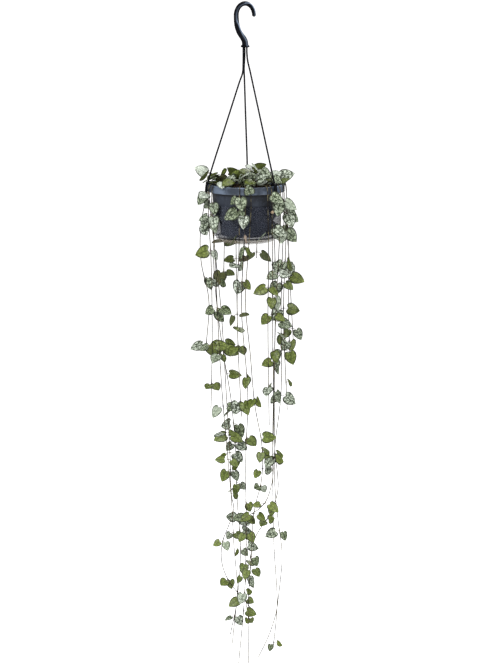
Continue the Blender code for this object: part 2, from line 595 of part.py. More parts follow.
def standing_trees(trailers, sprigs):
    """Search trees of all that a leaf has to stay clear of: holder, soil, strands and stems."""
    turn = [2 * math.pi * k / 48 for k in range(48)]
    outline = [(30.0, SOIL_TOP + 1.5), *pot_inside()[-3:], *pot_outside()[:4], *BOWL_OUTSIDE, (0.5, BOWL_BASE_Z)]
    points = [(r * math.cos(a), r * math.sin(a), z) for r, z in outline for a in turn]
    faces = [[i * 48 + k, i * 48 + (k + 1) % 48, (i + 1) * 48 + (k + 1) % 48, (i + 1) * 48 + k]
             for i in range(len(outline) - 1) for k in range(48)]
    trees = [tree_of(points, faces)]
    for data in STRANDS.values():
        trees.append(tree_of(*tube_mesh(strand_path(data), STRAND_RADIUS)))
        for reach, foot in ((RIM_RADIUS + 1.4, CLIP_OUTER_FOOT), (RIM_INNER_RADIUS - 1.5, CLIP_INNER_FOOT)):
            clip = [polar(reach, data["bearing"], RIM_TOP + z) for z in (CLIP_TOP + 1, foot)]
            trees.append(tree_of(*tube_mesh(clip, 4.2)))
    for trailer in trailers:
        path = [place for place, leaves in trailer.stops({}, 12.0)]
        trees.append(tree_of(*tube_mesh(path, STEM_RADIUS)))
    for path in sprigs.values():
        trees.append(tree_of(*tube_mesh(path, STEM_RADIUS)))
    return trees


def too_close_to_pot(points):
    """Whether a point lies inside the pot, the bowl or the soil."""
    outside = [*pot_outside()[:4], *BOWL_OUTSIDE]
    heights = np.array([z for r, z in reversed(outside)])
    radii = np.array([r for r, z in reversed(outside)])
    for point in points:
        reach = np.hypot(point[0], point[1])
        above_soil = point[2] > SOIL_TOP + 2.0 and reach < RIM_INNER_RADIUS - 1.0
        if BOWL_BASE_Z - 8.0 < point[2] < RIM_TOP + 0.5 and not above_soil:
            if reach < np.interp(point[2], heights, radii) + 0.4:
                return True
    return False


class Garden:
    """Places leaves one after another, turning each until it is clear of all that stands already."""

    def __init__(self, trees):
        self.trees = trees
        self.blades = []

    def fits(self, leaf):
        points, faces = leaf.swollen(LEAF_GAP)
        if too_close_to_pot(points):
            return False
        tree = tree_of(points, faces)
        if any(tree.overlap(other) for other in self.trees):
            return False
        middle = leaf.base + leaf.along * leaf.length * 0.4
        reach = 2.4 * LONGEST_LEAF
        return not any(np.linalg.norm(middle - place) < reach and tree.overlap(other) for place, other in self.blades)

    def place(self, foot, azimuth, droop, facing, rise, length, petiole):
        """A leaf as near to the wanted way as there is room for, or none."""
        for shrink in (1.0, 0.8, 0.62):
            for sink in (0, 22, -28):
                for turn in (0, 18, -18, 36, -36, 56, -56, 80, -80):
                    tilt = min(STEEPEST, max(-STEEPEST, droop + sink))
                    leaf = Leaf(foot, azimuth + turn, tilt, facing, rise, length * shrink, petiole)
                    if self.fits(leaf):
                        middle = leaf.base + leaf.along * leaf.length * 0.4
                        self.blades.append((middle, tree_of(*leaf.swollen(0.0))))
                        return leaf
        return None


def facing_of(bearing, share):
    """Blades face out from their side of the pot, turned by a share of the way to the front, or to the back on the
    rearmost stems."""
    side = 270.0 if math.sin(math.radians(bearing)) < 0.8 else 90.0
    difference = (side - bearing + 180.0) % 360.0 - 180.0
    return bearing + share * difference


def grow_trailer_leaves(garden, trailer, marks, draw):
    """Leaf pairs at the marks: one pair to the two sides of the stem, the next out from it and past it."""
    leaves_at = {}
    for number, mark in enumerate(marks):
        foot = trailer.at(mark)
        length = LONGEST_LEAF - (LONGEST_LEAF - SHORTEST_LEAF) * mark / LONGEST_DROP
        beside_pot = mark < POT_DEPTH
        facing = facing_of(trailer.bearing, 0.4 if beside_pot else 0.8)
        swing = 66.0 if beside_pot else 85.0
        turn = draw.uniform(-25.0, 25.0) + (0.0 if number % 2 == 0 or beside_pot else 50.0)
        wanted = []
        for side in (1, -1):
            look = facing + side * draw.uniform(-25.0, 40.0)
            size = length * draw.uniform(0.66, 1.04)
            rise = draw.uniform(0.1, 0.9)
            wanted.append((facing + side * swing + turn, draw.uniform(0.0, 78.0), look, rise, size))
        if draw.random() < SINGLE_SHARE and mark < trailer.drops[-1] - 20.0:
            wanted.pop()
        petiole = PETIOLE_LENGTH + draw.uniform(-1.5, 3.0)
        placed = [garden.place(foot, *ways, petiole) for ways in POSED.get((trailer.name, mark), wanted)]
        leaves_at[float(mark)] = [leaf for leaf in placed if leaf]
    return leaves_at


def grow_sprig_leaves(garden, name, path, draw):
    """Three pairs on a crown sprig: one just above the soil, one on the way up and one at its tip."""
    bearing = SPRIGS[name][0]
    stops = [(place, []) for place in path]
    for number, (foot, leaves) in enumerate(stops[1:4]):
        wanted = []
        for side in (1, -1):
            azimuth = bearing + side * (98.0 - 28.0 * number) + draw.uniform(-20.0, 20.0)
            droop, rise = draw.uniform(-40.0, 45.0), draw.uniform(0.2, 1.6)
            look = facing_of(bearing, 0.4) + draw.uniform(-30.0, 30.0)
            wanted.append((azimuth, droop, look, rise, SPRIG_LEAF * draw.uniform(0.8, 1.15)))
        petiole = PETIOLE_LENGTH + draw.uniform(-1.0, 2.0)
        placed = [garden.place(foot, *ways, petiole) for ways in POSED.get((name, number), wanted)]
        leaves += [leaf for leaf in placed if leaf]
    return stops


def matched_ring(points, mouth, ring):
    """The ring's order, started and turned the way that lies nearest to the mouth's four points."""
    orders = [tuple(ring[(start + turn * k) % 4] for k in range(4)) for start in range(4) for turn in (1, -1)]
    return min(orders, key=lambda order: sum(np.linalg.norm(points[a] - points[b]) for a, b in zip(order, mouth)))


def stem_mesh(stops):
    """A four-sided stem through its stops, thinner at its tip. At a stop with leaves it has a short stretch whose
    side faces are drawn out into their petioles, so stem and leaves are one closed mesh."""
    places = np.array([place for place, leaves in stops])
    ahead = np.gradient(places, axis=0)
    ahead /= np.linalg.norm(ahead, axis=1)[:, None]
    side = np.cross(ahead[0], (0.0, 1.0, 0.0))
    points, faces, drawn = [], [], []
    for number, ((place, leaves), forward) in enumerate(zip(stops, ahead)):
        side = side - forward * side.dot(forward)
        side /= np.linalg.norm(side)
        normal = np.cross(forward, side)
        radius = STEM_RADIUS * (1.0 - 0.25 * number / len(stops))
        for shift in (-PETIOLE_RADIUS, PETIOLE_RADIUS) if leaves else (0.0,):
            points += [place + forward * shift + a * side + b * normal for a, b in round_section(radius, 4)]
            last = len(points) - 4
            walls = [(last - 4 + k, last - 4 + (k + 1) % 4, last + (k + 1) % 4, last + k) for k in range(4)]
            faces += walls if last and shift <= 0 else []
        for leaf in leaves:
            mouth = max(walls, key=lambda m: (np.mean([points[i] for i in m], axis=0) - place).dot(leaf.way))
            walls.remove(mouth)
            drawn.append((mouth, leaf))
        faces += walls if leaves else []
    faces += [(3, 2, 1, 0), (last, last + 1, last + 2, last + 3)]
    for mouth, leaf in drawn:
        ring = tuple(range(len(points), len(points) + 4))
        points += petiole_ring(leaf.base, leaf.along, leaf.normal, PETIOLE_RADIUS)
        points += leaf_points(leaf.base, leaf.along, leaf.normal, leaf.length)
        end = matched_ring(points, mouth, ring)
        faces += [(mouth[k], mouth[(k + 1) % 4], end[(k + 1) % 4], end[k]) for k in range(4)]
        faces += blade_faces(ring, ring[3] + 1)
    return points, faces


def build_stem(name, stops, extras, material):
    """A stem with its leaves, and a flower or a tuber joined to it."""
    obj = add_object(name, *stem_mesh(stops), material)
    if extras:
        others = [add_object("extra", points, faces, material) for points, faces in extras]
        apply_boolean(obj, "UNION", others, "MANIFOLD")
    return obj


def flower_mesh(foot):
    """A lantern flower hanging from the stem: a bulb, a slim tube and a closed cap, on a short stalk."""
    length = FLOWER_LENGTH
    start = foot + np.array((0.0, 0.3, 0.0))
    way = np.array((0.18, -0.35, -0.92))
    steps = ((0.0, 0.5), (0.18, 0.5), (0.24, 1.6), (0.38, 2.6), (0.52, 1.9), (0.64, 1.2), (0.82, 1.3), (0.92, 1.7),
             (1.0, 0.6))
    path = [start + way * length * t for t, r in steps]
    return sweep(path, [round_section(r, 6) for t, r in steps])


def tuber_mesh(foot):
    """A small round tuber on the stem."""
    rings = 5
    steps = [math.pi * (k + 0.5) / rings for k in range(rings)]
    path = [foot + np.array((0.6, -1.2, -TUBER_RADIUS * math.cos(a))) for a in steps]
    return sweep(path, [round_section(TUBER_RADIUS * math.sin(a), 6) for a in steps])


def main():
    clear_scene()
    dark_plastic = make_material("dark_plastic", (0.036, 0.038, 0.046), 0.38)
    strand_plastic = make_material("strand_plastic", (0.05, 0.05, 0.058), 0.35)
    smoky_plastic = make_material("smoky_plastic", (0.23, 0.22, 0.20), 0.18, alpha=0.45)
    soil_matter = make_material("soil", (0.045, 0.03, 0.02), 0.95)
    foliage = make_material("foliage", (0.33, 0.38, 0.30), 0.5)

    trailers = make_trailers()
    sprigs = {name: sprig_route(*data) for name, data in SPRIGS.items()}
    feet = [trailer.over_rim[0][:2] for trailer in trailers] + [path[0][:2] for path in sprigs.values()]

    build_hook(dark_plastic)
    for name, data in STRANDS.items():
        build_strand(name, data, strand_plastic)
    build_pot(dark_plastic)
    build_bowl(smoky_plastic)
    build_soil(feet, soil_matter)

    garden = Garden(standing_trees(trailers, sprigs))
    draw = random.Random(7)
    for name, path in sprigs.items():
        build_stem(name, grow_sprig_leaves(garden, name, path, draw), [], foliage)
    for trailer in trailers:
        marks = TRAILERS[trailer.name][2]
        leaves_at = grow_trailer_leaves(garden, trailer, marks, draw)
        extras = []
        if trailer.name == FLOWER_TRAILER:
            extras.append(flower_mesh(trailer.at(FLOWER_DROP)))
        if trailer.name == TUBER_TRAILER:
            extras.append(tuber_mesh(trailer.at(TUBER_DROP)))
        build_stem(trailer.name, trailer.stops(leaves_at, LONGEST_STRETCH), extras, foliage)


main()
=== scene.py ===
"""Looks of the hanging pot planted with a string of hearts.

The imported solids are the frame. Lengths are the part's own, in millimetres, until Piece.make() turns them
into metres. The plant grows by the same rules, values and order of draws as the solids, so that each fine
leaf lies where its plain one is.
"""

import math
import random
from itertools import product

import bmesh
import bpy
import numpy as np
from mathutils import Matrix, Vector
from mathutils.bvhtree import BVHTree

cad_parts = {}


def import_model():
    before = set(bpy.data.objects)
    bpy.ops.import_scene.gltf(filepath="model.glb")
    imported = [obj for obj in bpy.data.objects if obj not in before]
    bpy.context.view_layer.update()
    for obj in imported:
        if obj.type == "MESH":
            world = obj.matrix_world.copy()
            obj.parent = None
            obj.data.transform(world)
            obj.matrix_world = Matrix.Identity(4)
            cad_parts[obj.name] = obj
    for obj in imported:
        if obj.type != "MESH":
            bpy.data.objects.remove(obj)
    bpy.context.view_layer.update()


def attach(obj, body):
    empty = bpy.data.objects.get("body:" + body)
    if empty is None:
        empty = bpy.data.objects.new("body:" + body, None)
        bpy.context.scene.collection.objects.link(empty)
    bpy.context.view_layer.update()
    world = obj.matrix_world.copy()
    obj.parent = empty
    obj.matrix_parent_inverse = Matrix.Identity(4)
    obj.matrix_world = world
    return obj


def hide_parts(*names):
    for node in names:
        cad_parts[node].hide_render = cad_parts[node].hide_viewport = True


MM = 0.001
CLEARANCE = 0.3

# Seeds of the random draws: where leaves grow, how they look, and the soil's lumps
GROWTH_SEED, LOOK_SEED, SOIL_SEED = 7, 406, 5

# Camera: the photograph's frame, 500 x 667, seen from 9 m away and a little from above
CAMERA_PLACE = (0.0064, -9.0, 0.855)
CAMERA_PITCH = math.radians(8.723)
LENS, SENSOR = 307.2, 36.0
FLOOR_Z = -1.16

# Hook: a flat-sided rod whose centre line is half an ellipse, then an S-bend down to the collar
HOOK_CROWN_CENTRE = (-1.4, -15.5)
HOOK_CROWN_HALF_AXES = (14.1, 19.1)
HOOK_TIP_ANGLE = math.radians(-6)
HOOK_SHANK_HANDLES = ((-15.5, -50.0), (-1.5, -46.0))
HOOK_FOOT = (-1.3, -62.0)
HOOK_TIP_WIDTH, HOOK_ROD_WIDTH, HOOK_NECK_WIDTH = 6.2, 8.0, 10.0
HOOK_DEPTH = 7.0
HOOK_SIDES = 40
COLLAR_RADIUS, COLLAR_TOP, COLLAR_BOTTOM = 7.0, -61.5, -66.0
SOCKET_DEPTH = 4.0

# Strands: socket position under the collar, bend below it, and the bearing of the clip on the rim; the clip's
# heights are from the top of the rim
STRAND_RADIUS = 1.05
STRANDS = {
    "strand_left": {"head": (-4.3, -1.2), "bend": (-4.9, -2.0, -104.0), "bearing": 192.0},
    "strand_right": {"head": (1.4, -1.4), "bend": (2.2, -2.2, -84.0), "bearing": 317.0},
    "strand_rear": {"head": (-2.2, 2.9), "bend": (-3.0, 5.0, -100.0), "bearing": 88.0},
}
CLIP_WIDTH = 5.6
CLIP_TOP, CLIP_OUTER_FOOT, CLIP_INNER_FOOT = 5.6, -17.0, -6.0

# Pot: heights are from the origin
RIM_TOP = -283.5
RIM_RADIUS, RIM_INNER_RADIUS, RIM_FOOT = 62.0, 58.4, RIM_TOP - 12.0
WALL = 1.8
POT_WALL_RADIUS, POT_STEP_RADIUS, POT_STEP_Z = 54.0, 51.6, -331.5
POT_FOOT_RADIUS, POT_TAPER_Z, POT_BASE_Z = 40.0, -345.0, -366.0
DRAIN_RADIUS = 5.0

# The pot's outlines as (radius, z): outside from the rim to the base, and inside from the floor to the rim
POT_OUTSIDE = ((RIM_RADIUS - 0.8, RIM_TOP), (RIM_RADIUS, RIM_TOP - 0.8), (RIM_RADIUS, RIM_FOOT),
               (POT_WALL_RADIUS, RIM_FOOT), (POT_STEP_RADIUS, POT_STEP_Z),
               (POT_FOOT_RADIUS + 2, POT_TAPER_Z), (POT_FOOT_RADIUS, POT_BASE_Z))
POT_INSIDE = ((POT_FOOT_RADIUS - WALL, POT_BASE_Z + WALL), (POT_FOOT_RADIUS + 2 - WALL, POT_TAPER_Z + 0.6),
              (POT_STEP_RADIUS - WALL, POT_STEP_Z + 0.6), (POT_WALL_RADIUS - WALL, RIM_FOOT - 2.0),
              (RIM_INNER_RADIUS, RIM_FOOT + 3.0), (RIM_INNER_RADIUS, RIM_TOP))

# Soil: its top and the radius of its flat part, and the rings, sides and waves of its fine surface
SOIL_TOP, SOIL_FLAT = -290.5, 50.0
SOIL_RINGS, SOIL_SIDES, SOIL_WAVES = 34, 120, 40

# Drip bowl: outlines from its lip down to the edge of its flat base, as (radius, z), and the outline of pot
# and bowl together
BOWL_LIP_Z, BOWL_BASE_Z = -315.5, -377.2
BOWL_OUTSIDE = ((54.9, BOWL_LIP_Z), (55.5, -331.0), (56.4, -345.5), (55.0, -356.5), (51.6, -364.5),
                (49.8, -367.4), (47.0, -368.8), (48.2, -370.6), (45.5, -374.4), (38.0, BOWL_BASE_Z))
HOLDER_OUTSIDE = (*POT_OUTSIDE[:4], *BOWL_OUTSIDE)
BOWL_WALL = 1.7
BOWL_INSIDE = ((53.2, BOWL_LIP_Z), (53.8, -331.0), (54.7, -345.5), (53.2, -356.5), (49.6, -363.5),
               (45.0, -368.0), (43.8, -372.5), (36.5, BOWL_BASE_Z + BOWL_WALL))

# Plant: its stems, and how far apart they are pushed, level by level from under the rim
STEM_RADIUS, STEM_DEPTH = 0.8, 9.0
TRAILER_FEET = (46.0, 42.0)
HANG_RADIUS = 65.6
FIRST_MARK, LONGEST_STRETCH = 8.0, 26.0
STEM_SPACING, SPREAD_ROUNDS = 7.0, 120
LEVEL_STEP, LOWEST_LEVEL, FIRST_FREE_LEVEL = 10.0, 790.0, 4

# Leaves: their form, and the sizes, changes of droop and turns that are tried until one has room
LEAF_GAP = 1.2
PETIOLE_LENGTH, PETIOLE_RADIUS = 6.0, 0.55
PETIOLE_SHARE = 0.35
STEEPEST = 86.0
BLADE_HALF_THICKNESS, WIDTH_SHARE = 0.75, 0.98
SINGLE_SHARE = 0.25
LONGEST_DROP, POT_DEPTH = 780.0, 108.0
FACING_SHARE = {"beside_pot": 0.4, "below_pot": 0.8}
SWING = {"beside_pot": 66.0, "below_pot": 85.0}
SHRINKS, SINKS = (1.0, 0.8, 0.62), (0, 22, -28)
TURNS = (0, 18, -18, 36, -36, 56, -56, 80, -80)

# Each trailing stem, its name without trailer_: the bearing where it crosses the rim (degrees from +X
# towards the rear), the points (drop below the rim, x, y) that it hangs through, and the drops at which it
# carries leaves
TRAILERS = {
    "left_outer": (182, ((60, -71, -4), (130, -71, -6), (180, -60, -8), (265, -64, -8)), (30, 64, 150, 258)),
    "left_front": (204, ((110, -56, -27), (260, -54, -24), (360, -56, -20)), (12, 52, 104, 202, 258, 320)),
    "left_bowed": (214, ((110, -49, -37), (189, -46, -34), (350, -37, -24), (430, -30, -16), (500, -24, -14),
        (533, -20, -14), (565, -34, -16), (598, -40, -16), (638, -30, -16), (666, -10, -14), (688, 10, -12)),
        (26, 46, 196, 270, 356, 400, 444, 500, 577, 640, 672)),
    "left_rear": (152, ((110, -50, 30), (197, -41, 28), (355, -31, 20), (435, -26, 14), (500, -24, 10),
        (580, -20, 10), (690, -16, 6), (735, -26, 4)), (60, 163, 270, 376, 410, 438, 466, 500, 568, 704)),
    "left_back": (136, ((110, -52, 42), (270, -38, 34), (355, -24, 28), (435, -17, 22), (520, -14, 18),
        (590, -9, 16), (750, -22, 12)), (262, 312, 392, 424, 456, 488, 545, 566, 596)),
    "front_short": (261, ((95, -11, -62), (180, -14, -58), (270, -12, -50), (370, -7, -44)),
        (14, 36, 75, 122, 223, 254, 345)),
    "front_long": (269, ((95, -3, -63), (180, -7, -56), (350, 3, -40), (425, 0, -34), (590, 0, -24),
        (676, -3, -20), (778, -12, -18)), (42, 92, 150, 305, 405, 512, 536, 562, 582, 612, 632, 660, 690)),
    "front_drift": (277, ((95, 4, -63), (180, -1, -60), (270, 7, -52), (350, 14, -46), (425, 26, -36),
        (480, 24, -32), (520, 14, -30), (590, 9, -30), (670, 4, -28), (775, 4, -26)),
        (10, 340, 404, 428, 456, 484, 530, 600, 618)),
    "right_front": (302, ((110, 36, -54), (190, 35, -50), (385, 37, -42)), (12, 72, 160, 321)),
    "right_arched": (309, ((110, 42, -50), (190, 42, -46), (425, 43, -32), (487, 40, -30), (512, 30, -34),
        (528, 12, -38), (538, -12, -42)), (64, 176, 205, 264, 330, 440, 512)),
    "right_sweeping": (327, ((110, 52, -36), (190, 48, -34), (425, 46, -18), (510, 48, -14), (545, 32, -10),
        (574, 14, -8), (601, 8, -8), (663, -2, -6), (712, 6, -4)), (24, 140, 218, 282, 442, 544, 640, 706)),
    "right_long": (338, ((110, 58, -24), (190, 56, -22), (350, 55, -16), (430, 46, -12), (500, 47, -8),
        (557, 53, -6), (598, 58, -6), (654, 54, -4), (703, 47, -4), (750, 30, -2), (770, 20, -2)),
        (44, 72, 156, 240, 340, 436, 562)),
    "right_outer": (350, ((110, 63, -11), (190, 60, -10), (365, 66, -8)), (50, 124, 200, 240, 268, 320)),
    "right_side": (8, ((110, 68, 10), (190, 68, 12), (285, 70, 14)), (35, 68, 150, 256)),
    "right_far": (26, ((110, 68, 32), (190, 72, 36), (262, 76, 38)), (50, 133, 240)),
    "right_back": (52, ((110, 46, 52), (190, 47, 48), (430, 43, 30), (590, 45, 22), (695, 50, 18),
        (758, 44, 16)), (70, 134, 300, 528, 750)),
    "back_right": (74, ((70, 18, 66), (130, 17, 66)), (25, 70, 120)),
    "back_left": (104, ((110, -16, 65), (230, -14, 58)), (30, 80, 130, 220)),
    "back_outer": (120, ((70, -34, 58), (160, -36, 56)), (45, 100, 150)),
}
SHORTEST_LEAF, LONGEST_LEAF = 17.0, 24.0
LEAF_REACH = 2.4 * LONGEST_LEAF

# Leaves given at a stem's mark or on a sprig's lower, middle or top knuckle (0, 1, 2): bearing of the
# midrib, droop, bearing and rise of the face, length
POSED = {
    "trailer_front_short": {14: ((285, 62, 268, 0.4, 22), (200, 50, 255, 0.5, 14)),
        36: ((196, 30, 262, 0.4, 23), (312, 25, 290, 0.8, 13)), 75: ((215, 50, 175, 0.5, 17),)},
    "trailer_front_long": {42: ((255, 70, 268, 0.4, 20),),
        92: ((215, 60, 200, 0.4, 20), (310, 65, 330, 0.4, 19))},
    "trailer_front_drift": {10: ((255, -50, 268, 0.3, 19),)},
    "trailer_right_front": {12: ((352, 30, 285, 0.5, 21),), 72: ((190, 38, 185, 0.6, 18),)},
    "trailer_right_arched": {64: ((355, 40, 285, 0.5, 21), (20, 74, 290, 0.4, 20))},
    "trailer_right_sweeping": {24: ((255, 62, 272, 0.5, 22), (10, 35, 290, 0.7, 22))},
    "trailer_right_long": {44: ((262, 60, 280, 0.4, 22), (20, 40, 290, 0.5, 22)),
        72: ((0, 50, 282, 0.4, 23), (250, 72, 275, 0.4, 19))},
    "trailer_left_front": {12: ((320, 40, 262, 0.5, 21), (175, 60, 250, 0.5, 20))},
    "trailer_left_bowed": {26: ((300, 72, 262, 0.4, 18),),
        46: ((285, 66, 262, 0.4, 20), (170, 30, 230, 0.8, 16))},
    "sprig_front": {2: ((205, 12, 262, 1.0, 25), (345, 5, 275, 1.2, 18))},
    "sprig_front_left": {2: ((190, 20, 265, 1.6, 21), (300, 25, 280, 1.8, 18))},
    "sprig_right_front": {2: ((285, 62, 275, 0.4, 25), (20, -20, 290, 0.6, 18))},
    "sprig_left": {2: ((175, -25, 262, 0.4, 20), (230, 48, 165, 0.6, 22))},
    "sprig_left_front": {2: ((215, 35, 150, 0.5, 23), (250, 20, 262, 1.6, 20))},
    "sprig_right": {2: ((358, -12, 278, 0.4, 22), (330, 25, 285, 1.5, 19))},
}
FLOWER_TRAILER, FLOWER_DROP, FLOWER_LENGTH = "trailer_front_long", 72.0, 17.0
TUBER_TRAILER, TUBER_DROP, TUBER_RADIUS = "trailer_right_arched", 40.0, 2.8

# Each crown sprig, its name without sprig_: bearing, radius of its foot in the soil, radius of its tip,
# height of its tip above the rim
SPRIGS = {
    "left": (186, 38, 58, 17),
    "left_front": (224, 34, 52, 7),
    "front_left": (244, 24, 42, 11),
    "front": (264, 20, 36, 17),
    "front_right": (288, 26, 46, 9),
    "right_tall": (304, 16, 36, 26),
    "right_front": (326, 30, 46, 13),
    "right": (352, 34, 50, 12),
    "right_low": (340, 30, 54, 5),
    "back_right": (30, 30, 48, 8),
    "back": (62, 34, 52, 5),
    "back_mid": (100, 28, 46, 8),
    "back_left": (134, 34, 54, 6),
    "left_back": (162, 28, 50, 9),
    "centre": (60, 6, 14, 18),
}
SPRIG_LEAF = 21.0

# Shown: radii of the stems, their knuckles' swelling and the strands, then the clips' band as (radius,
# height above the rim's top, half its thickness)
STEM_SHOWN, KNUCKLE, STRAND_SHOWN = 0.7, 0.32, STRAND_RADIUS + 0.37
CLIP_BAND = ((56.9, -6.0, 1.1), (56.9, 0.0, 1.2), (57.6, 2.4, 1.9), (60.2, 3.1, 2.5), (63.0, 2.4, 2.1),
             (63.8, 0.0, 1.5), (64.1, -13.5, 1.6), (63.3, -17.0, 0.7))


# Routes and places, by the same rules as the solids


def polar(radius, bearing, z):
    """A point by its distance from the Z axis and its bearing in degrees."""
    turn = math.radians(bearing)
    return np.array((radius * math.cos(turn), radius * math.sin(turn), z))


def unit(vectors):
    """Vectors over their own lengths."""
    return vectors / np.linalg.norm(vectors, axis=-1, keepdims=True)


def grid_faces(rows, columns, closed):
    """Quads over rows of points; where the grid is closed, its last column meets its first."""
    near = np.arange(columns if closed else columns - 1)
    far = (near + 1) % columns
    row = np.arange(rows - 1)[:, None] * columns
    return np.stack((row + near, row + far, row + columns + far, row + columns + near), -1).reshape(-1, 4)


def turned(outline, sides=96):
    """An outline of (radius, z) carried round the Z axis: (r cos a, r sin a, z)."""
    radius, height = np.asarray(outline, float).T
    turn = 2 * math.pi * np.arange(sides) / sides
    points = np.stack((radius[:, None] * np.cos(turn), radius[:, None] * np.sin(turn),
                       np.repeat(height[:, None], sides, 1)), -1)
    return points.reshape(-1, 3), grid_faces(len(radius), sides, True)


def smooth_between(drops, values, at):
    """Cubic Hermite through values at drops, with the slope at each drop taken from its neighbours."""
    slopes = np.gradient(values, drops, axis=0)
    k = np.clip(np.searchsorted(drops, at, side="right") - 1, 0, len(drops) - 2)
    span = (drops[k + 1] - drops[k])[:, None]
    t = np.clip((at[:, None] - drops[k][:, None]) / span, 0, 1)
    return ((2 * t**3 - 3 * t**2 + 1) * values[k] + (t**3 - 2 * t**2 + t) * span * slopes[k]
            + (3 * t**2 - 2 * t**3) * values[k + 1] + (t**3 - t**2) * span * slopes[k + 1])


def strand_path(data):
    """A strand's line: down out of its socket, through its bend, then straight to its clip on the rim."""
    head = np.array((*data["head"], COLLAR_BOTTOM + SOCKET_DEPTH - 1.0))
    bend = np.array(data["bend"])
    end = polar(RIM_RADIUS - 0.5, data["bearing"], RIM_TOP + CLIP_TOP)
    below = head * (1, 1, 0) + np.array((0, 0, 0.45 * head[2] + 0.55 * bend[2]))
    before_end = end + polar(4.0, data["bearing"] + 180, 13.0)
    after_bend = bend + (before_end - bend) * 0.12
    return [head, below, (bend + below) / 2 + (bend - after_bend) * 0.02, bend, after_bend,
            bend + (before_end - bend) * 0.55, before_end, end]


class Trailer:
    """One stem: its way out of the soil and over the rim, then its places at drops below the rim."""

    def __init__(self, name, bearing, marks, over_rim, drops, places):
        self.name, self.bearing, self.marks, self.over_rim = name, bearing, marks, over_rim
        self.drops, self.places = drops, places

    def at(self, drop):
        """The point of the hanging stretch that lies this far below the rim."""
        x, y = smooth_between(self.drops, self.places, np.array([float(drop)]))[0]
        return np.array((x, y, RIM_TOP - drop))

    def stops(self, leaves_at, step):
        """(place, leaves) from the soil to the tip, at each mark of leaves_at and between, at most a step
        apart."""
        marks = sorted({FIRST_MARK, float(self.drops[-1]), *leaves_at})
        stops = [(place, []) for place in self.over_rim]
        for first, second in zip(marks, marks[1:]):
            count = max(1, math.ceil((second - first) / step))
            for k in range(count):
                drop = first + (second - first) * k / count
                stops.append((self.at(drop), leaves_at.get(drop, [])))
        return stops + [(self.at(marks[-1]), [])]


def over_rim(bearing, foot_radius):
    """A stem's way out of the soil and over the rim."""
    clear = STEM_RADIUS + CLEARANCE
    route = ((foot_radius, SOIL_TOP - STEM_DEPTH), (foot_radius, SOIL_TOP + 2.0),
             (foot_radius + 3.0, RIM_TOP + 0.5), (RIM_INNER_RADIUS - 3.0, RIM_TOP + 2.2),
             (RIM_RADIUS - 1.4, RIM_TOP + clear + 0.25), (RIM_RADIUS + clear + 0.2, RIM_TOP - 1.0))
    return [polar(radius, bearing, z) for radius, z in route]


def spread(trailers):
    """Pushes stems that hang closer than STEM_SPACING apart, level by level, and smooths each one's pushes.
    The levels beside the rim stay."""
    levels, free = np.arange(0.0, LOWEST_LEVEL, LEVEL_STEP), FIRST_FREE_LEVEL
    course = np.array([smooth_between(t.drops, t.places, np.minimum(levels, t.drops[-1])) for t in trailers])
    present = np.array([levels <= t.drops[-1] + LEVEL_STEP for t in trailers])
    moved = np.zeros_like(course)
    for _ in range(SPREAD_ROUNDS):
        gap = (course + moved)[:, None] - (course + moved)[None, :]
        distance = np.linalg.norm(gap, axis=-1)[..., None] + 1e-6
        near = (distance[..., 0] < STEM_SPACING) & present[:, None] & present[None, :]
        near[np.arange(len(trailers)), np.arange(len(trailers))] = False
        push = np.where(near[..., None], gap / distance * (STEM_SPACING - distance), 0).sum(1)
        push[:, :free] = 0
        moved += 0.3 * push
        moved[:, free:-1] = 0.7 * moved[:, free:-1] + 0.15 * (moved[:, free - 1:-2] + moved[:, free + 1:])
    for trailer, row in zip(trailers, course + moved):
        last = trailer.drops[-1]
        keep = levels < last - LEVEL_STEP / 2
        end = [np.interp(last, levels, row[:, axis]) for axis in (0, 1)]
        trailer.drops = np.append(levels[keep], last)
        trailer.places = np.vstack((row[keep], end))


def make_trailers():
    """Every trailing stem's route, spread so that none of them meet."""
    trailers = []
    for number, (name, (bearing, course, marks)) in enumerate(TRAILERS.items()):
        drops = [0.0, 30.0] + [float(d) for d, x, y in course]
        hang = polar(HANG_RADIUS, bearing, 0)[:2]
        places = [hang - polar(1.0, bearing, 0)[:2], hang] + [np.array((x, y), float) for d, x, y in course]
        route = over_rim(bearing, TRAILER_FEET[number % 2])
        trailers.append(Trailer("trailer_" + name, bearing, marks, route, np.array(drops), np.array(places)))
    spread(trailers)
    return trailers


def sprig_route(bearing, foot_radius, tip_radius, height):
    """A crown sprig's stem: straight up out of its hole, then leaning outwards to its tip."""
    tip = polar(tip_radius, bearing, RIM_TOP + height)
    foot = polar(foot_radius, bearing, SOIL_TOP - STEM_DEPTH)
    rise = polar(foot_radius, bearing, SOIL_TOP + 3.0)
    lean = polar(foot_radius + 0.35 * (tip_radius - foot_radius), bearing, RIM_TOP + 0.7 * height)
    return [foot, rise, lean, tip, tip + (tip - lean) / np.linalg.norm(tip - lean) * 2.0]


# A heart in its own plane: along its midrib and across it, as shares of its length and its width
HEART = ((-0.16, 0.25), (0.20, 0.5), (0.66, 0.33))
CROWN_AT = 0.38


def leaf_faces():
    """Faces over the points of Leaf.swollen(): both sides of the blade, then the petiole."""
    top, left, bottom, right, l1, l2, l3, r1, r2, r3, tip, over, under = range(13)
    faces = []
    for edge, crown, turn in ((top, over, 1), (bottom, under, -1)):
        half = [(edge, left, l1), (edge, l1, crown), (l1, l2, crown), (l2, l3, crown), (l3, tip, crown),
                (right, edge, r1), (r1, edge, crown), (r2, r1, crown), (r3, r2, crown), (tip, r3, crown)]
        faces += [face[::turn] for face in half]
    return faces + [(13 + k, 13 + (k + 1) % 4, (k + 1) % 4, k) for k in range(4)]


LEAF_FACES = leaf_faces()


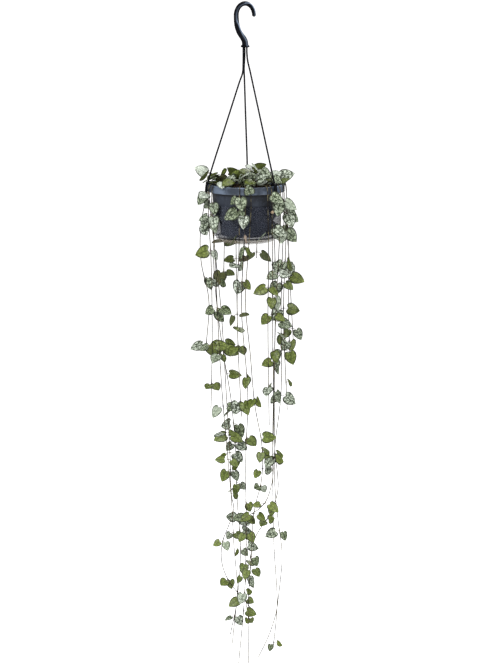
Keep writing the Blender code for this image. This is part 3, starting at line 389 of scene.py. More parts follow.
def petiole_ring(centre, along, normal, radius):
    """Four points round a petiole: top, left, bottom, right."""
    across = np.cross(normal, along)
    across /= np.linalg.norm(across)
    up = np.cross(along, across)
    return [centre + way * radius for way in (up, across, -up, -across)]


class Leaf:
    """A leaf's place: the petiole's foot and end, the way that its blade points, and its size."""

    def __init__(self, foot, azimuth, droop, facing, rise, length, petiole):
        out, down = polar(1.0, azimuth, 0.0), math.radians(droop)
        self.foot, self.length = foot, length
        self.way = out * math.cos(PETIOLE_SHARE * down) - np.array((0, 0, math.sin(PETIOLE_SHARE * down)))
        self.base = foot + self.way * petiole
        self.along = out * math.cos(down) - np.array((0, 0, math.sin(down)))
        self.middle = self.base + self.along * length * 0.4
        wanted = polar(1.0, facing, rise)
        normal = wanted - self.along * wanted.dot(self.along)
        self.normal = normal / np.linalg.norm(normal)

    def swollen(self, swell):
        """A search tree over a plain leaf, made thicker by swell all round, and its points: a ring at the
        petiole's end, three on each side of the heart, the tip, both crowns and a ring near the foot."""
        across = np.cross(self.normal, self.along)
        reach, width = self.length + swell, WIDTH_SHARE * self.length + 2 * swell
        droop, half = 0.05 * self.length, BLADE_HALF_THICKNESS + swell
        points = petiole_ring(self.base, self.along, self.normal, PETIOLE_RADIUS + swell)
        for side, (u, v) in product((1, -1), HEART):
            out = u * reach - (swell * 0.5 if u < 0 else 0)
            points.append(self.base + self.along * out + across * side * v * width
                          - self.normal * (droop * 4 * v * v))
        crown = self.base + self.along * (CROWN_AT * self.length)
        points += [self.base + self.along * reach - self.normal * (1.6 * droop),
                   crown + self.normal * half, crown - self.normal * half]
        near_foot = self.foot + self.way * 2.6
        points += petiole_ring(near_foot, self.way, self.normal, PETIOLE_RADIUS + 0.5 * swell)
        return tree_of(points, LEAF_FACES), points


def tree_of(points, faces):
    """A search tree over a mesh."""
    return BVHTree.FromPolygons([Vector(p) for p in points], faces)


def tree_along(path, radius):
    """A search tree over a closed four-sided tube along a path."""
    path = np.asarray(path, float)
    ahead = unit(np.gradient(path, axis=0))
    side = np.cross(ahead[0], (0.0, 1.0, 0.0) if abs(ahead[0][1]) < 0.9 else (1.0, 0.0, 0.0))
    points = []
    for place, forward in zip(path, ahead):
        side = side - forward * side.dot(forward)
        side /= np.linalg.norm(side)
        up = np.cross(forward, side)
        points += [place + radius * way for way in (side, up, -side, -up)]
    ends = [[3, 2, 1, 0], list(range(len(points) - 4, len(points)))]
    return tree_of(points, grid_faces(len(path), 4, True).tolist() + ends)


def standing_trees(trailers, sprig_paths):
    """Search trees of what the leaves stay clear of: holder, soil, strands and stems."""
    outline = [(30.0, SOIL_TOP + 1.5), *POT_INSIDE[-3:], *HOLDER_OUTSIDE, (0.5, BOWL_BASE_Z)]
    points, faces = turned(outline, 48)
    trees = [tree_of(points, faces.tolist())]
    for data in STRANDS.values():
        trees.append(tree_along(strand_path(data), STRAND_RADIUS))
        for reach, foot in ((RIM_RADIUS + 1.4, CLIP_OUTER_FOOT), (RIM_INNER_RADIUS - 1.5, CLIP_INNER_FOOT)):
            clip = [polar(reach, data["bearing"], RIM_TOP + z) for z in (CLIP_TOP + 1, foot)]
            trees.append(tree_along(clip, 4.2))
    paths = [[place for place, leaves in trailer.stops({}, 12.0)] for trailer in trailers]
    return trees + [tree_along(path, STEM_RADIUS) for path in (*paths, *sprig_paths)]


def too_close_to_pot(points):
    """Whether a point lies inside the pot, the bowl or the soil."""
    radii, heights = np.array(HOLDER_OUTSIDE[::-1]).T
    x, y, z = np.array(points).T
    reach = np.hypot(x, y)
    above_soil = (z > SOIL_TOP + 2.0) & (reach < RIM_INNER_RADIUS - 1.0)
    beside = (z > BOWL_BASE_Z - 8.0) & (z < RIM_TOP + 0.5) & ~above_soil
    return (beside & (reach < np.interp(z, heights, radii) + 0.4)).any()


class Garden:
    """Places leaves one after another, each clear of all that stands already."""

    def __init__(self, trees):
        self.trees, self.blades = trees, []

    def fits(self, leaf):
        tree, points = leaf.swollen(LEAF_GAP)
        if too_close_to_pot(points):
            return False
        near = [other for place, other in self.blades if np.linalg.norm(leaf.middle - place) < LEAF_REACH]
        return not any(tree.overlap(other) for other in (*self.trees, *near))

    def place(self, foot, azimuth, droop, facing, rise, length, petiole):
        """A leaf as near to the wanted way as there is room for, or none."""
        for shrink, sink, turn in product(SHRINKS, SINKS, TURNS):
            tilt = min(STEEPEST, max(-STEEPEST, droop + sink))
            leaf = Leaf(foot, azimuth + turn, tilt, facing, rise, length * shrink, petiole)
            if self.fits(leaf):
                self.blades.append((leaf.middle, leaf.swollen(0.0)[0]))
                return leaf
        return None

    def plant(self, name, mark, foot, wanted, petiole):
        """The leaves listed for this mark, or else the wanted ones, where there is room."""
        placed = [self.place(foot, *ways, petiole) for ways in POSED.get(name, {}).get(mark, wanted)]
        return [leaf for leaf in placed if leaf]


def facing_of(bearing, share):
    """Blades face out from their side of the pot, turned by a share of the way to the front, or to the back
    on the rearmost stems."""
    side = 270.0 if math.sin(math.radians(bearing)) < 0.8 else 90.0
    difference = (side - bearing + 180.0) % 360.0 - 180.0
    return bearing + share * difference


def grow_trailer_leaves(garden, trailer, draw):
    """Leaf pairs at the marks, in turn to the stem's two sides and out from it."""
    leaves_at = {}
    for number, mark in enumerate(trailer.marks):
        length = LONGEST_LEAF - (LONGEST_LEAF - SHORTEST_LEAF) * mark / LONGEST_DROP
        level = "beside_pot" if mark < POT_DEPTH else "below_pot"
        facing, swing = facing_of(trailer.bearing, FACING_SHARE[level]), SWING[level]
        turn = draw.uniform(-25.0, 25.0) + (50.0 if number % 2 and level == "below_pot" else 0.0)
        wanted = []
        for side in (1, -1):
            look = facing + side * draw.uniform(-25.0, 40.0)
            size = length * draw.uniform(0.66, 1.04)
            rise = draw.uniform(0.1, 0.9)
            wanted.append((facing + side * swing + turn, draw.uniform(0.0, 78.0), look, rise, size))
        if draw.random() < SINGLE_SHARE and mark < trailer.drops[-1] - 20.0:
            wanted.pop()
        petiole = PETIOLE_LENGTH + draw.uniform(-1.5, 3.0)
        leaves_at[float(mark)] = garden.plant(trailer.name, mark, trailer.at(mark), wanted, petiole)
    return leaves_at


def grow_sprig_leaves(garden, name, bearing, path, draw):
    """Three pairs on a crown sprig: above the soil, on the way up and at its tip."""
    stops = [(place, []) for place in path]
    for number, (foot, leaves) in enumerate(stops[1:4]):
        wanted = []
        for side in (1, -1):
            azimuth = bearing + side * (98.0 - 28.0 * number) + draw.uniform(-20.0, 20.0)
            droop, rise = draw.uniform(-40.0, 45.0), draw.uniform(0.2, 1.6)
            look = facing_of(bearing, FACING_SHARE["beside_pot"]) + draw.uniform(-30.0, 30.0)
            wanted.append((azimuth, droop, look, rise, SPRIG_LEAF * draw.uniform(0.8, 1.15)))
        leaves += garden.plant(name, number, foot, wanted, PETIOLE_LENGTH + draw.uniform(-1.0, 2.0))
    return stops


# Fine surfaces


def rounded_path(path, steps):
    """The smooth curve through the path's points, cubic in the length along it, with so many steps to a
    stretch."""
    path = np.asarray(path, float)
    length = length_along(path)
    count = len(path) - 1
    at = np.interp(np.arange(count * steps + 1) / steps, np.arange(count + 1), length)
    return smooth_between(length, path, at)


def length_along(path):
    """How far each point of a path lies from its start."""
    return np.append(0.0, np.cumsum(np.linalg.norm(np.diff(path, axis=0), axis=1)))


def powered(values, power):
    """|v|^p with v's own sign."""
    return np.sign(values) * np.abs(values)**power


def tube(path, half_widths, half_depths, across, sides, squareness=1.0, flute=0.0):
    """A tube closed at both ends. At each point of the path p lies a ring p + w s |cos a|^q + d n |sin a|^q
    (1 - f e), with s across the path, n the other way across, q the squareness (1 is round) and e =
    exp(-(cos a / 0.36)^2), which presses a flute of depth f along the two broad faces."""
    path = np.asarray(path, float)
    ahead = unit(np.gradient(path, axis=0))
    side = unit(np.cross(ahead, across))
    up = np.cross(side, ahead)
    turn = 2 * math.pi * (np.arange(sides) + 0.5) / sides
    power, flute = (np.broadcast_to(np.asarray(value, float), (len(path),))[:, None]
                    for value in (squareness, flute))
    pressed = 1 - flute * np.exp(-(np.cos(turn) / 0.36)**2)
    a = powered(np.cos(turn), power) * np.reshape(half_widths, (-1, 1))
    b = powered(np.sin(turn), power) * pressed * np.reshape(half_depths, (-1, 1))
    rings = path[:, None] + a[..., None] * side[:, None] + b[..., None] * up[:, None]
    rings = np.concatenate((np.repeat(path[:1, None], sides, 1), rings, np.repeat(path[-1:, None], sides, 1)))
    return rings.reshape(-1, 3), grid_faces(len(path) + 2, sides, True)


def eased(outline, radius, steps=4):
    """An outline with its corners rounded: each corner c becomes (1-t)^2 a + 2t(1-t) c + t^2 b, where a and
    b lie up to radius before and after it."""
    outline = np.asarray(outline, float)
    corner = outline[1:-1]
    before, after = outline[:-2] - corner, outline[2:] - corner
    reach_before, reach_after = (np.linalg.norm(way, axis=1, keepdims=True) for way in (before, after))
    cut = np.minimum(radius, 0.45 * np.minimum(reach_before, reach_after))
    a, b = corner + before / reach_before * cut, corner + after / reach_after * cut
    t = np.linspace(0, 1, steps + 1)[:, None]
    arcs = (1 - t)**2 * a[:, None] + 2 * t * (1 - t) * corner[:, None] + t**2 * b[:, None]
    return np.vstack((outline[:1], arcs.reshape(-1, 2), outline[-1:]))


# Half of a heart's outline from the notch to the tip: along the midrib, across it, and where its vein
# leaves the midrib, as shares of the blade's length and, across, of its width
HEART_LINE = np.array((
    (0.02, 0.006, 0.0), (-0.125, 0.12, 0.02), (-0.155, 0.27, 0.06), (-0.05, 0.425, 0.13), (0.15, 0.5, 0.26),
    (0.38, 0.47, 0.43), (0.61, 0.365, 0.6), (0.82, 0.2, 0.79), (1.0, 0.0, 1.0)))
TO_EDGE = np.array((-1.0, -0.62, 0.0, 0.62, 1.0))


def blade(leaf, look):
    """A heart-shaped blade, two grids (t, s) back to back that meet along the outline: u = m + |s| (o - m)
    along the midrib and v = s w across it, where m, o and w are HEART_LINE at t. Its height is the fold f
    |v| less the curl c v^2, less the nod towards the tip n u^2, plus a small wave along the edge, and it is
    half_thickness sqrt(1 - s^2) above and below that."""
    along, across, midrib = HEART_LINE.T
    s = TO_EDGE[None, :]
    u = midrib[:, None] + np.abs(s) * (along - midrib)[:, None]
    v = s * across[:, None]
    thick = BLADE_HALF_THICKNESS * np.sqrt(np.clip(1 - s**2, 0, 1)) * np.repeat(
        np.minimum(1, 6 * midrib * (1 - midrib) + 0.55)[:, None], len(TO_EDGE), 1)
    thick[[0, -1]] = 0
    height = leaf.length * (look.fold * np.abs(v) - look.curl * v**2 - look.nod * u**2
                            + look.wave * np.sin(9 * u + look.draw * 40) * np.abs(s)**2 * (v * 2)**2)
    sideways = np.cross(leaf.normal, leaf.along)
    level = (leaf.base + leaf.length * (u[..., None] * leaf.along + WIDTH_SHARE * v[..., None] * sideways)
             + height[..., None] * leaf.normal)
    bulge = thick[..., None] * leaf.normal
    points = np.concatenate((level + bulge, level - bulge)).reshape(-1, 3)
    faces = grid_faces(*u.shape, False)
    reads = np.stack((v + 0.5, 0.8 * u + 0.18, np.repeat(np.arange(len(u))[:, None] / 8, len(TO_EDGE), 1),
                      np.repeat(np.abs(s), len(u), 0)), -1).reshape(-1, 4)
    reads = np.hstack((np.tile(reads, (2, 1)), np.full((2 * len(reads), 2), (look.silver, look.draw))))
    return points, np.vstack((faces, faces[:, ::-1] + u.size)), reads


class Look:
    """How one leaf looks: how silvered it is, and the small bends of its blade."""

    def __init__(self, silver, draw):
        self.silver = silver
        self.draw = draw.random()
        self.fold = draw.uniform(0.02, 0.16)
        self.curl = draw.uniform(0.1, 0.42)
        self.nod = draw.uniform(0.02, 0.12)
        self.wave = draw.uniform(-0.02, 0.02)


def linked(name, data):
    """An object with this data, linked to the scene."""
    obj = bpy.data.objects.new(name, data)
    bpy.context.scene.collection.objects.link(obj)
    return obj


class Piece:
    """Gathers surfaces into one mesh: points in millimetres, faces, the finish of each, and what its
    pattern reads: two places on the leaf's plane, then vein, nearness to the edge, silver and draw, or the
    titles given to make()."""

    def __init__(self, *surfaces):
        self.points, self.faces, self.finish, self.reads, self.count = [], [], [], [], 0
        for surface in surfaces:
            self.add(*surface)

    def add(self, points, faces, finish=0, reads=None):
        self.faces.append(faces + self.count)
        self.finish.append(np.broadcast_to(finish, (len(faces),)))
        self.points.append(points)
        self.reads.append(np.zeros((len(points), 6)) if reads is None else reads)
        self.count += len(points)

    def make(self, name, finishes, nodes, smooth_angle, titles=("vein", "to_edge", "silver", "draw")):
        """The finished piece, its doubles merged and its faces turned outwards, in place of the nodes."""
        mesh = bpy.data.meshes.new(name)
        mesh.from_pydata((np.vstack(self.points) * MM).tolist(), [], np.vstack(self.faces).tolist())
        for material in finishes:
            mesh.materials.append(material)
        mesh.polygons.foreach_set("material_index", np.concatenate(self.finish).astype(np.int32))
        reads = np.vstack(self.reads)
        if reads.any():
            corners = np.empty(len(mesh.loops), np.int32)
            mesh.loops.foreach_get("vertex_index", corners)
            plane = mesh.uv_layers.new(name="leaf_plane").uv
            plane.foreach_set("vector", reads[corners, :2].astype(np.float32).ravel())
            for column, title in enumerate(titles, 2):
                values = mesh.attributes.new(title, "FLOAT", "POINT")
                values.data.foreach_set("value", reads[:, column].astype(np.float32))
        shape = bmesh.new()
        shape.from_mesh(mesh)
        bmesh.ops.remove_doubles(shape, verts=shape.verts, dist=1e-7)
        bmesh.ops.recalc_face_normals(shape, faces=shape.faces)
        shape.to_mesh(mesh)
        shape.free()
        mesh.shade_smooth()
        mesh.set_sharp_from_angle(angle=math.radians(smooth_angle))
        obj = linked(name, mesh)
        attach(obj, "root")
        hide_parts(*nodes)


# Finishes


PRINCIPLED = "Principled BSDF"


def shade(red, green, blue):
    """Screen values from 0 to 255 as the linear colour that a shader takes."""
    part = np.array((red, green, blue)) / 255
    return (*np.where(part <= 0.04045, part / 12.92, ((part + 0.055) / 1.055)**2.4).tolist(), 1.0)


def is_link(value):
    """Whether this is another node's output."""
    return isinstance(value, bpy.types.NodeSocket)


def feed(node, inputs):
    """Gives each of these inputs of a node its value or its link."""
    for key, value in inputs.items():
        if is_link(value):
            node.id_data.links.new(value, node.inputs[key])
        else:
            node.inputs[key].default_value = value


def place(tree, kind, inputs=None, **settings):
    """A node with its settings and inputs."""
    node = tree.nodes.new("ShaderNode" + kind)
    for key, value in settings.items():
        setattr(node, key, value)
    feed(node, inputs or {})
    return node


def maths(operation):
    """A function for one step of arithmetic with values and links."""
    def step(a, b=0.0, clamp=False):
        tree = (a if is_link(a) else b).id_data
        return place(tree, "Math", {0: a, 1: b}, operation=operation, use_clamp=clamp).outputs[0]
    return step


plus, less, times, most, size_of, fraction = map(
    maths, ("ADD", "SUBTRACT", "MULTIPLY", "MAXIMUM", "ABSOLUTE", "FRACT"))


def mixed(share, first, second):
    """Two colours mixed by a share, each a link or the three values that shade() takes."""
    first, second = (colour if is_link(colour) else shade(*colour) for colour in (first, second))
    return place(share.id_data, "Mix", {0: share, 6: first, 7: second}, data_type="RGBA").outputs[2]


def spanned(value, low, high, to_low=0.0, to_high=1.0):
    """A value carried smoothly from the span low..high to the span to_low..to_high."""
    inputs = {"Value": value, "From Min": low, "From Max": high, "To Min": to_low, "To Max": to_high}
    return place(value.id_data, "MapRange", inputs, interpolation_type="SMOOTHSTEP").outputs["Result"]


def between(value, rise, full, fall, end):
    """1 where a value lies from full to fall, down to 0 at rise and end."""
    return times(spanned(value, rise, full), spanned(value, fall, end, 1.0, 0.0))


def noise(spot, scale, detail=2.0):
    """Soft noise round 0.5."""
    return place(spot.id_data, "TexNoise", {"Vector": spot, "Scale": scale, "Detail": detail}).outputs[0]


def cells(spot, scale, feature):
    """The distances in a net of cells."""
    inputs = {"Vector": spot, "Scale": scale}
    return place(spot.id_data, "TexVoronoi", inputs, feature=feature).outputs["Distance"]


def coat(tree, colour, height, strength, distance):
    """Gives a material its colour, and the relief of a height."""
    relief = place(tree, "Bump", {"Height": height, "Strength": strength, "Distance": distance})
    feed(tree.nodes[PRINCIPLED], {"Base Color": colour, "Normal": relief.outputs["Normal"]})


def attribute(tree, title):
    """An attribute of the piece."""
    return place(tree, "Attribute", attribute_name=title).outputs["Fac"]


def spots(tree, kind="Object"):
    """The place on the part, in metres."""
    return place(tree, "TexCoord").outputs[kind]


def along_axis(spot, axis):
    """One coordinate of a place."""
    return place(spot.id_data, "SeparateXYZ", {0: spot}).outputs[axis]


def heights(tree):
    """The height on the part, in metres."""
    return along_axis(spots(tree), "Z")


def new_group(name, takes, gives):
    """An empty node group: takes is {name: socket kind}, gives the names of its values."""
    tree = bpy.data.node_groups.new(name, "ShaderNodeTree")
    for title, kind in takes.items():
        tree.interface.new_socket(title, in_out="INPUT", socket_type="NodeSocket" + kind)
    for title in gives:
        tree.interface.new_socket(title, in_out="OUTPUT", socket_type="NodeSocketFloat")
    return tree, tree.nodes.new("NodeGroupInput").outputs, tree.nodes.new("NodeGroupOutput")


def new_finish(name, roughness, shine=0.5):
    """A material, its tree and its Principled shader."""
    material = bpy.data.materials.new(name)
    material.use_nodes = True
    shader = material.node_tree.nodes[PRINCIPLED]
    feed(shader, {"Roughness": roughness, "Specular IOR Level": shine})
    return material, material.node_tree, shader


def marbling_group():
    """The leaf's marbling: green runs along the veins and in a net between them, silver fills the rest."""
    takes = {"Plane": "Vector", "Vein": "Float", "To Edge": "Float", "Draw": "Float"}
    tree, takes, out = new_group("marbling", takes, ("Green", "Relief", "Clouds"))
    shift = {"X": times(takes["Draw"], 37.0), "Y": times(takes["Draw"], 91.0)}
    shift = place(tree, "CombineXYZ", shift).outputs[0]
    plane = place(tree, "VectorMath", {0: takes["Plane"], 1: shift}, operation="ADD").outputs[0]
    ripple = noise(plane, 5.0)
    bend = {0: ripple.node.outputs["Color"], "Scale": 0.3}
    bend = place(tree, "VectorMath", bend, operation="SCALE").outputs[0]
    wavy = place(tree, "VectorMath", {0: plane, 1: bend}, operation="ADD").outputs[0]
    net = spanned(cells(wavy, 4.8, "DISTANCE_TO_EDGE"), 0.03, 0.13, 1.0, 0.0)
    clouds = noise(plane, 3.2, 3.0)
    row = plus(times(takes["Vein"], 5.0), times(ripple, 1.4))
    veins = spanned(size_of(less(fraction(row), 0.5)), 0.34, 0.48)
    midrib = spanned(takes["To Edge"], 0.03, 0.12, 1.0, 0.0)
    margin = times(spanned(takes["To Edge"], 0.80, 0.98), 0.8)
    green = most(most(most(net, veins), midrib), margin)
    green = plus(green, spanned(clouds, 0.54, 0.7, 0.0, 0.7), clamp=True)
    relief = less(1.0, plus(times(net, 0.4), times(midrib, 0.7)))
    feed(out, {"Green": green, "Relief": relief, "Clouds": clouds})
    return tree


def scuffs_group():
    """Fine wear on moulded plastic: broad cloudy dulling, and thin dusty specks."""
    tree, takes, out = new_group("scuffs", {"Vector": "Vector", "Scale": "Float"}, ("Dull", "Dust"))
    broad = noise(takes["Vector"], takes["Scale"], 4.0)
    fine = noise(takes["Vector"], times(takes["Scale"], 9.0), 3.0)
    feed(out, {"Dull": spanned(broad, 0.35, 0.7), "Dust": spanned(fine, 0.56, 0.72)})
    return tree


def leaf_reads(tree, marbling):
    """The marbling on a blade, from the piece's own map and attributes."""
    silver, draw, to_edge, vein = (attribute(tree, title) for title in ("silver", "draw", "to_edge", "vein"))
    inputs = {"Plane": place(tree, "UVMap", uv_map="leaf_plane").outputs[0], "Vein": vein, "To Edge": to_edge,
              "Draw": draw}
    return place(tree, "Group", inputs, node_tree=marbling).outputs, silver, draw, spanned(to_edge, 0.7, 0.92)


def upper_leaf(marbling):
    """The blade's upper face: a deep green net and rim with silver between them, olive on the young and
    shaded ones, which are paler low down."""
    material, tree, shader = new_finish("leaf_upper", 0.42, 0.35)
    net, silver, draw, rim = leaf_reads(tree, marbling)
    high = spanned(heights(tree), -0.75, -0.35)
    olive = mixed(spanned(draw, 0.1, 0.9), mixed(high, (102, 120, 40), (72, 86, 18)),
                  mixed(high, (132, 148, 66), (104, 117, 38)))
    olive = mixed(spanned(net["Clouds"], 0.3, 0.6), (122, 135, 58), olive)
    green = mixed(spanned(silver, 0.1, 0.5), olive, (46, 62, 22))
    green = mixed(times(net["Green"], 0.6), green, (18, 28, 8))
    pale = mixed(spanned(draw, 0.0, 1.0), (208, 217, 203), (178, 191, 166))
    pale = mixed(spanned(silver, 0.3, 0.75), (142, 157, 118), pale)
    amount = times(less(1.0, net["Green"]), spanned(silver, 0.05, 0.6, 0.1, 1.0))
    washed = plus(amount, spanned(silver, 0.75, 1.0, 0.0, 0.45), clamp=True)
    feed(shader, {"Roughness": spanned(washed, 0.0, 1.0, 0.36, 0.56)})
    coat(tree, mixed(times(rim, 0.85), mixed(washed, green, pale), (26, 32, 14)), net["Relief"], 0.6, 0.0005)
    return material


def under_leaf(marbling):
    """The blade's underside: dull olive, flushed with purple on some leaves, the veins a little darker."""
    material, tree, _ = new_finish("leaf_under", 0.55, 0.3)
    net, silver, draw, rim = leaf_reads(tree, marbling)
    base = mixed(spanned(draw, 0.45, 1.0), (98, 110, 50), (86, 74, 54))
    base = mixed(spanned(silver, 0.2, 1.0, 0.0, 0.4), base, (128, 140, 98))
    base = mixed(times(net["Green"], 0.55), base, (38, 44, 18))
    coat(tree, mixed(times(rim, 0.8), base, (26, 28, 14)), net["Relief"], 0.4, 0.0005)
    return material


def stem_skin():
    """Stems and petioles: thin tan skin, with dark stretches and a purple flush."""
    material, tree, _ = new_finish("stem_skin", 0.6, 0.2)
    long, fine = noise(spots(tree), 95.0), noise(spots(tree), 900.0)
    base = mixed(spanned(long, 0.30, 0.44), (76, 60, 52), (104, 98, 72))
    base = mixed(spanned(long, 0.47, 0.54), base, (22, 18, 16))
    coat(tree, mixed(times(fine, 0.4), base, (50, 42, 34)), fine, 0.3, 0.0002)
    return material


def lantern_skin():
    """The lantern flower: dull tan tube with a breath of pink, deeper towards its cap."""
    material, tree, _ = new_finish("lantern_skin", 0.6)
    freckle = noise(spots(tree), 700.0)
    base = mixed(spanned(heights(tree), -0.372, -0.366, 1.0, 0.0), (146, 130, 116), (92, 66, 62))
    coat(tree, mixed(times(freckle, 0.5), base, (112, 96, 82)), freckle, 0.3, 0.0002)
    return material


def tuber_skin():
    """The little tuber: tan, corky, with darker pits."""
    material, tree, _ = new_finish("tuber_skin", 0.75)
    cork = noise(spots(tree), 600.0, 4.0)
    coat(tree, mixed(spanned(cork, 0.35, 0.65), (104, 84, 66), (172, 152, 122)), cork, 0.5, 0.0004)
    return material


def wear_at(tree, scuffs, scale, dull, dust):
    """The scuffs at this scale: the dulling, and the share of the paler, worn colour."""
    wear = place(tree, "Group", {"Vector": spots(tree), "Scale": scale}, node_tree=scuffs).outputs
    return wear["Dull"], plus(times(wear["Dull"], dull), times(wear["Dust"], dust))


def moulded_plastic(name, scuffs, deep, worn, roughness, scale, shine):
    """Dark moulded plastic: cloudy changes of sheen, a paler dusty bloom, and a very fine grain."""
    material, tree, shader = new_finish(name, roughness, shine)
    dull, bloom = wear_at(tree, scuffs, scale, 0.3, 0.12)
    feed(shader, {"Roughness": spanned(dull, 0.0, 1.0, roughness - 0.07, roughness + 0.12)})
    coat(tree, mixed(bloom, deep, worn), noise(spots(tree), 1500.0), 0.12, 0.0002)
    return material


def recolour(material, share_of, colour):
    """Mixes a colour over a material's own, by the share that share_of(tree) gives."""
    socket = material.node_tree.nodes[PRINCIPLED].inputs["Base Color"]
    own = socket.links[0].from_socket
    feed(socket.node, {"Base Color": mixed(share_of(material.node_tree), own, colour)})


def rim_dust_and_painted_highlight(tree):
    """Where the pot's rim is paler: in patches over its band, partly dust and partly painted highlight,
    and most along its top edge, where glints are painted.
    """
    foot, top = MM * RIM_FOOT, MM * RIM_TOP
    patches = spanned(noise(spots(tree), 34.0, 4.0), 0.35, 0.7)
    # The band: paler patches, partly dust and partly painted highlight
    band = times(spanned(heights(tree), foot - 0.0002, foot + 0.0006), spanned(patches, 0.0, 1.0, 0.2, 0.75))
    # Painted glints along the rim's top edge
    edge = times(spanned(heights(tree), top - 0.0022, top), spanned(patches, 0.0, 0.5))
    return plus(band, edge, clamp=True)


def pot_shadow(tree):
    """Painted shade on the pot: a shadow right under its rim, and darker along its foot, where it meets the
    bowl.
    """
    foot, base = MM * RIM_FOOT, MM * POT_BASE_Z
    under = between(heights(tree), foot - 0.006, foot - 0.0015, foot - 0.0002, foot + 0.0002)
    return most(times(under, 0.8), spanned(heights(tree), base + 0.002, base + 0.005, 1.0, 0.0))


def smoky_plastic(scuffs):
    """The drip bowl's smoky plastic: see-through where it stands clear of the pot, with a soft film of
    dust, a painted shade in the groove under the pot's base, darker and less see-through there, and paler
    and browner on the foot below it."""
    material, tree, shader = new_finish("smoky_clear", 0.5, 0.15)
    dull, film = wear_at(tree, scuffs, 22.0, 0.6, 0.12)
    height, ends = heights(tree), [MM * (BOWL_BASE_Z + up) for up in (7.2, 8.0, 9.6, 10.4)]
    foot = spanned(height, MM * (BOWL_BASE_Z + 7.0), ends[1], 1.0, 0.0)
    # Painted shade: the groove under the pot's base is dark and nearly opaque, as if in shadow
    groove = between(height, *ends)
    smoke = mixed(foot, (56, 60, 72), (126, 119, 106))
    smoke = mixed(film, smoke, mixed(foot, (78, 83, 95), (164, 155, 140)))
    feed(shader, {"Base Color": mixed(groove, smoke, (14, 14, 16)),
                  "Alpha": most(spanned(film, 0.0, 1.0, 0.36, 0.48), times(groove, 0.85)),
                  "Roughness": spanned(dull, 0.0, 1.0, 0.46, 0.6)})
    return material


def peat():
    """Soil: dark crumbs with paler fibres and specks."""
    material, tree, _ = new_finish("peat", 0.95, 0.2)
    crumb = cells(spots(tree), 420.0, "F1")
    base = mixed(spanned(crumb, 0.1, 0.6), (30, 22, 17), (66, 50, 38))
    speck = spanned(noise(spots(tree), 260.0, 5.0), 0.62, 0.7)
    coat(tree, mixed(speck, base, (128, 106, 84)), crumb, 0.8, 0.001)
    return material


# Pieces


# The hook's collar as (height, radius), from its neck to its underside
COLLAR = np.array(((COLLAR_TOP - 0.9, 5.4), (COLLAR_TOP - 1.5, 6.1), (COLLAR_TOP - 2.2, COLLAR_RADIUS - 0.3),
                   (COLLAR_BOTTOM + 1.6, COLLAR_RADIUS), (COLLAR_BOTTOM + 0.5, COLLAR_RADIUS),
                   (COLLAR_BOTTOM + 0.02, COLLAR_RADIUS - 0.6), (COLLAR_BOTTOM, 4.6)))

# The painted highlight along the hook's moulded rib, as a soft light from the upper right would catch it:
# share of the way from the tip to the collar, place across the rod from -1 on its outer side to 1 on its
# inner side, and strength
HOOK_PAINTED_HIGHLIGHT = ((0.0, -0.5, 0.0), (0.07, -0.85, 0.7), (0.2, -0.95, 0.8), (0.3, 0.1, 0.3), (0.42, 0.05, 0.34),
            (0.58, 0.2, 0.4), (0.68, 0.85, 0.8), (0.78, 0.95, 0.9), (0.88, 0.6, 0.45), (1.0, 0.6, 0.3))


def hook_piece(plastic):
    """The hook: one rod from its rounded tip, over the crown and down the shank, that flares into the round
    collar. Its centre line is half an ellipse, then one cubic curve, then straight down. Along its moulded
    rib a highlight is painted, as a soft light from the upper right would catch it: where a is the place
    across the rod and c the highlight's, it is as strong as exp(-((a - c) / 0.22)^2)."""
    centre, half_axes = np.array(HOOK_CROWN_CENTRE), np.array(HOOK_CROWN_HALF_AXES)
    turn = np.linspace(HOOK_TIP_ANGLE, math.pi, 56)[:-1]
    crown = centre + half_axes * np.stack((np.cos(turn), np.sin(turn)), -1)
    t = np.linspace(0, 1, 44)[:, None]
    start = centre - half_axes * (1, 0)
    handle_a, handle_b, end = (np.array(point) for point in (*HOOK_SHANK_HANDLES, HOOK_FOOT))
    shank = (1 - t)**3 * start + 3 * t * (1 - t)**2 * handle_a + 3 * t * t * (1 - t) * handle_b + t**3 * end
    collar = np.stack((np.full(len(COLLAR), HOOK_FOOT[0]), COLLAR[:, 0]), -1)
    path = np.insert(np.vstack((crown, shank, collar)), 1, 0.0, 1)

    rod = len(crown) + len(shank)
    grown = np.concatenate((np.linspace(HOOK_TIP_WIDTH, HOOK_ROD_WIDTH, len(crown)),
                            np.linspace(HOOK_ROD_WIDTH, HOOK_NECK_WIDTH, len(shank)))) / 2
    half_widths = np.append(grown, COLLAR[:, 1])
    half_depths = np.append(np.full(rod, HOOK_DEPTH / 2), COLLAR[:, 1])
    from_tip = length_along(path)
    rounding = np.sqrt(1 - (1 - np.clip((from_tip + 0.15) / 3.2, 0, 1))**2)
    near_collar = np.clip((from_tip - from_tip[rod - 1] + 9.0) / 9.0, 0, 1)
    half_depths = half_depths + near_collar * (half_widths - half_depths)
    flute = 0.26 * (1 - near_collar) * np.clip((from_tip - 2.0) / 4.0, 0, 1)
    squareness = 0.5 + 0.5 * near_collar
    points, faces = tube(path, half_widths * rounding, half_depths * rounding, (0, 1, 0), HOOK_SIDES,
                         squareness, flute)

    # Painted highlight along the rib, standing in for a soft light from the upper right
    share, place_across, strength = np.array(HOOK_PAINTED_HIGHLIGHT).T
    along = np.clip(from_tip / from_tip[rod - 1], 0, 1)
    turn = 2 * math.pi * (np.arange(HOOK_SIDES) + 0.5) / HOOK_SIDES
    off_highlight = powered(np.cos(turn), squareness[:, None]) - np.interp(along, share, place_across)[:, None]
    painted_highlight = np.interp(along, share, strength)[:, None] * np.exp(-(off_highlight / 0.22)**2)
    painted_highlight[rod + 3:] = 0.0
    reads = np.zeros((len(points), 6))
    reads[:, 2] = np.concatenate((painted_highlight[:1], painted_highlight, painted_highlight[-1:])).ravel()
    Piece((points, faces, 0, reads)).make("moulded_hook", [plastic], ["hook"], 50, ("painted_highlight",))


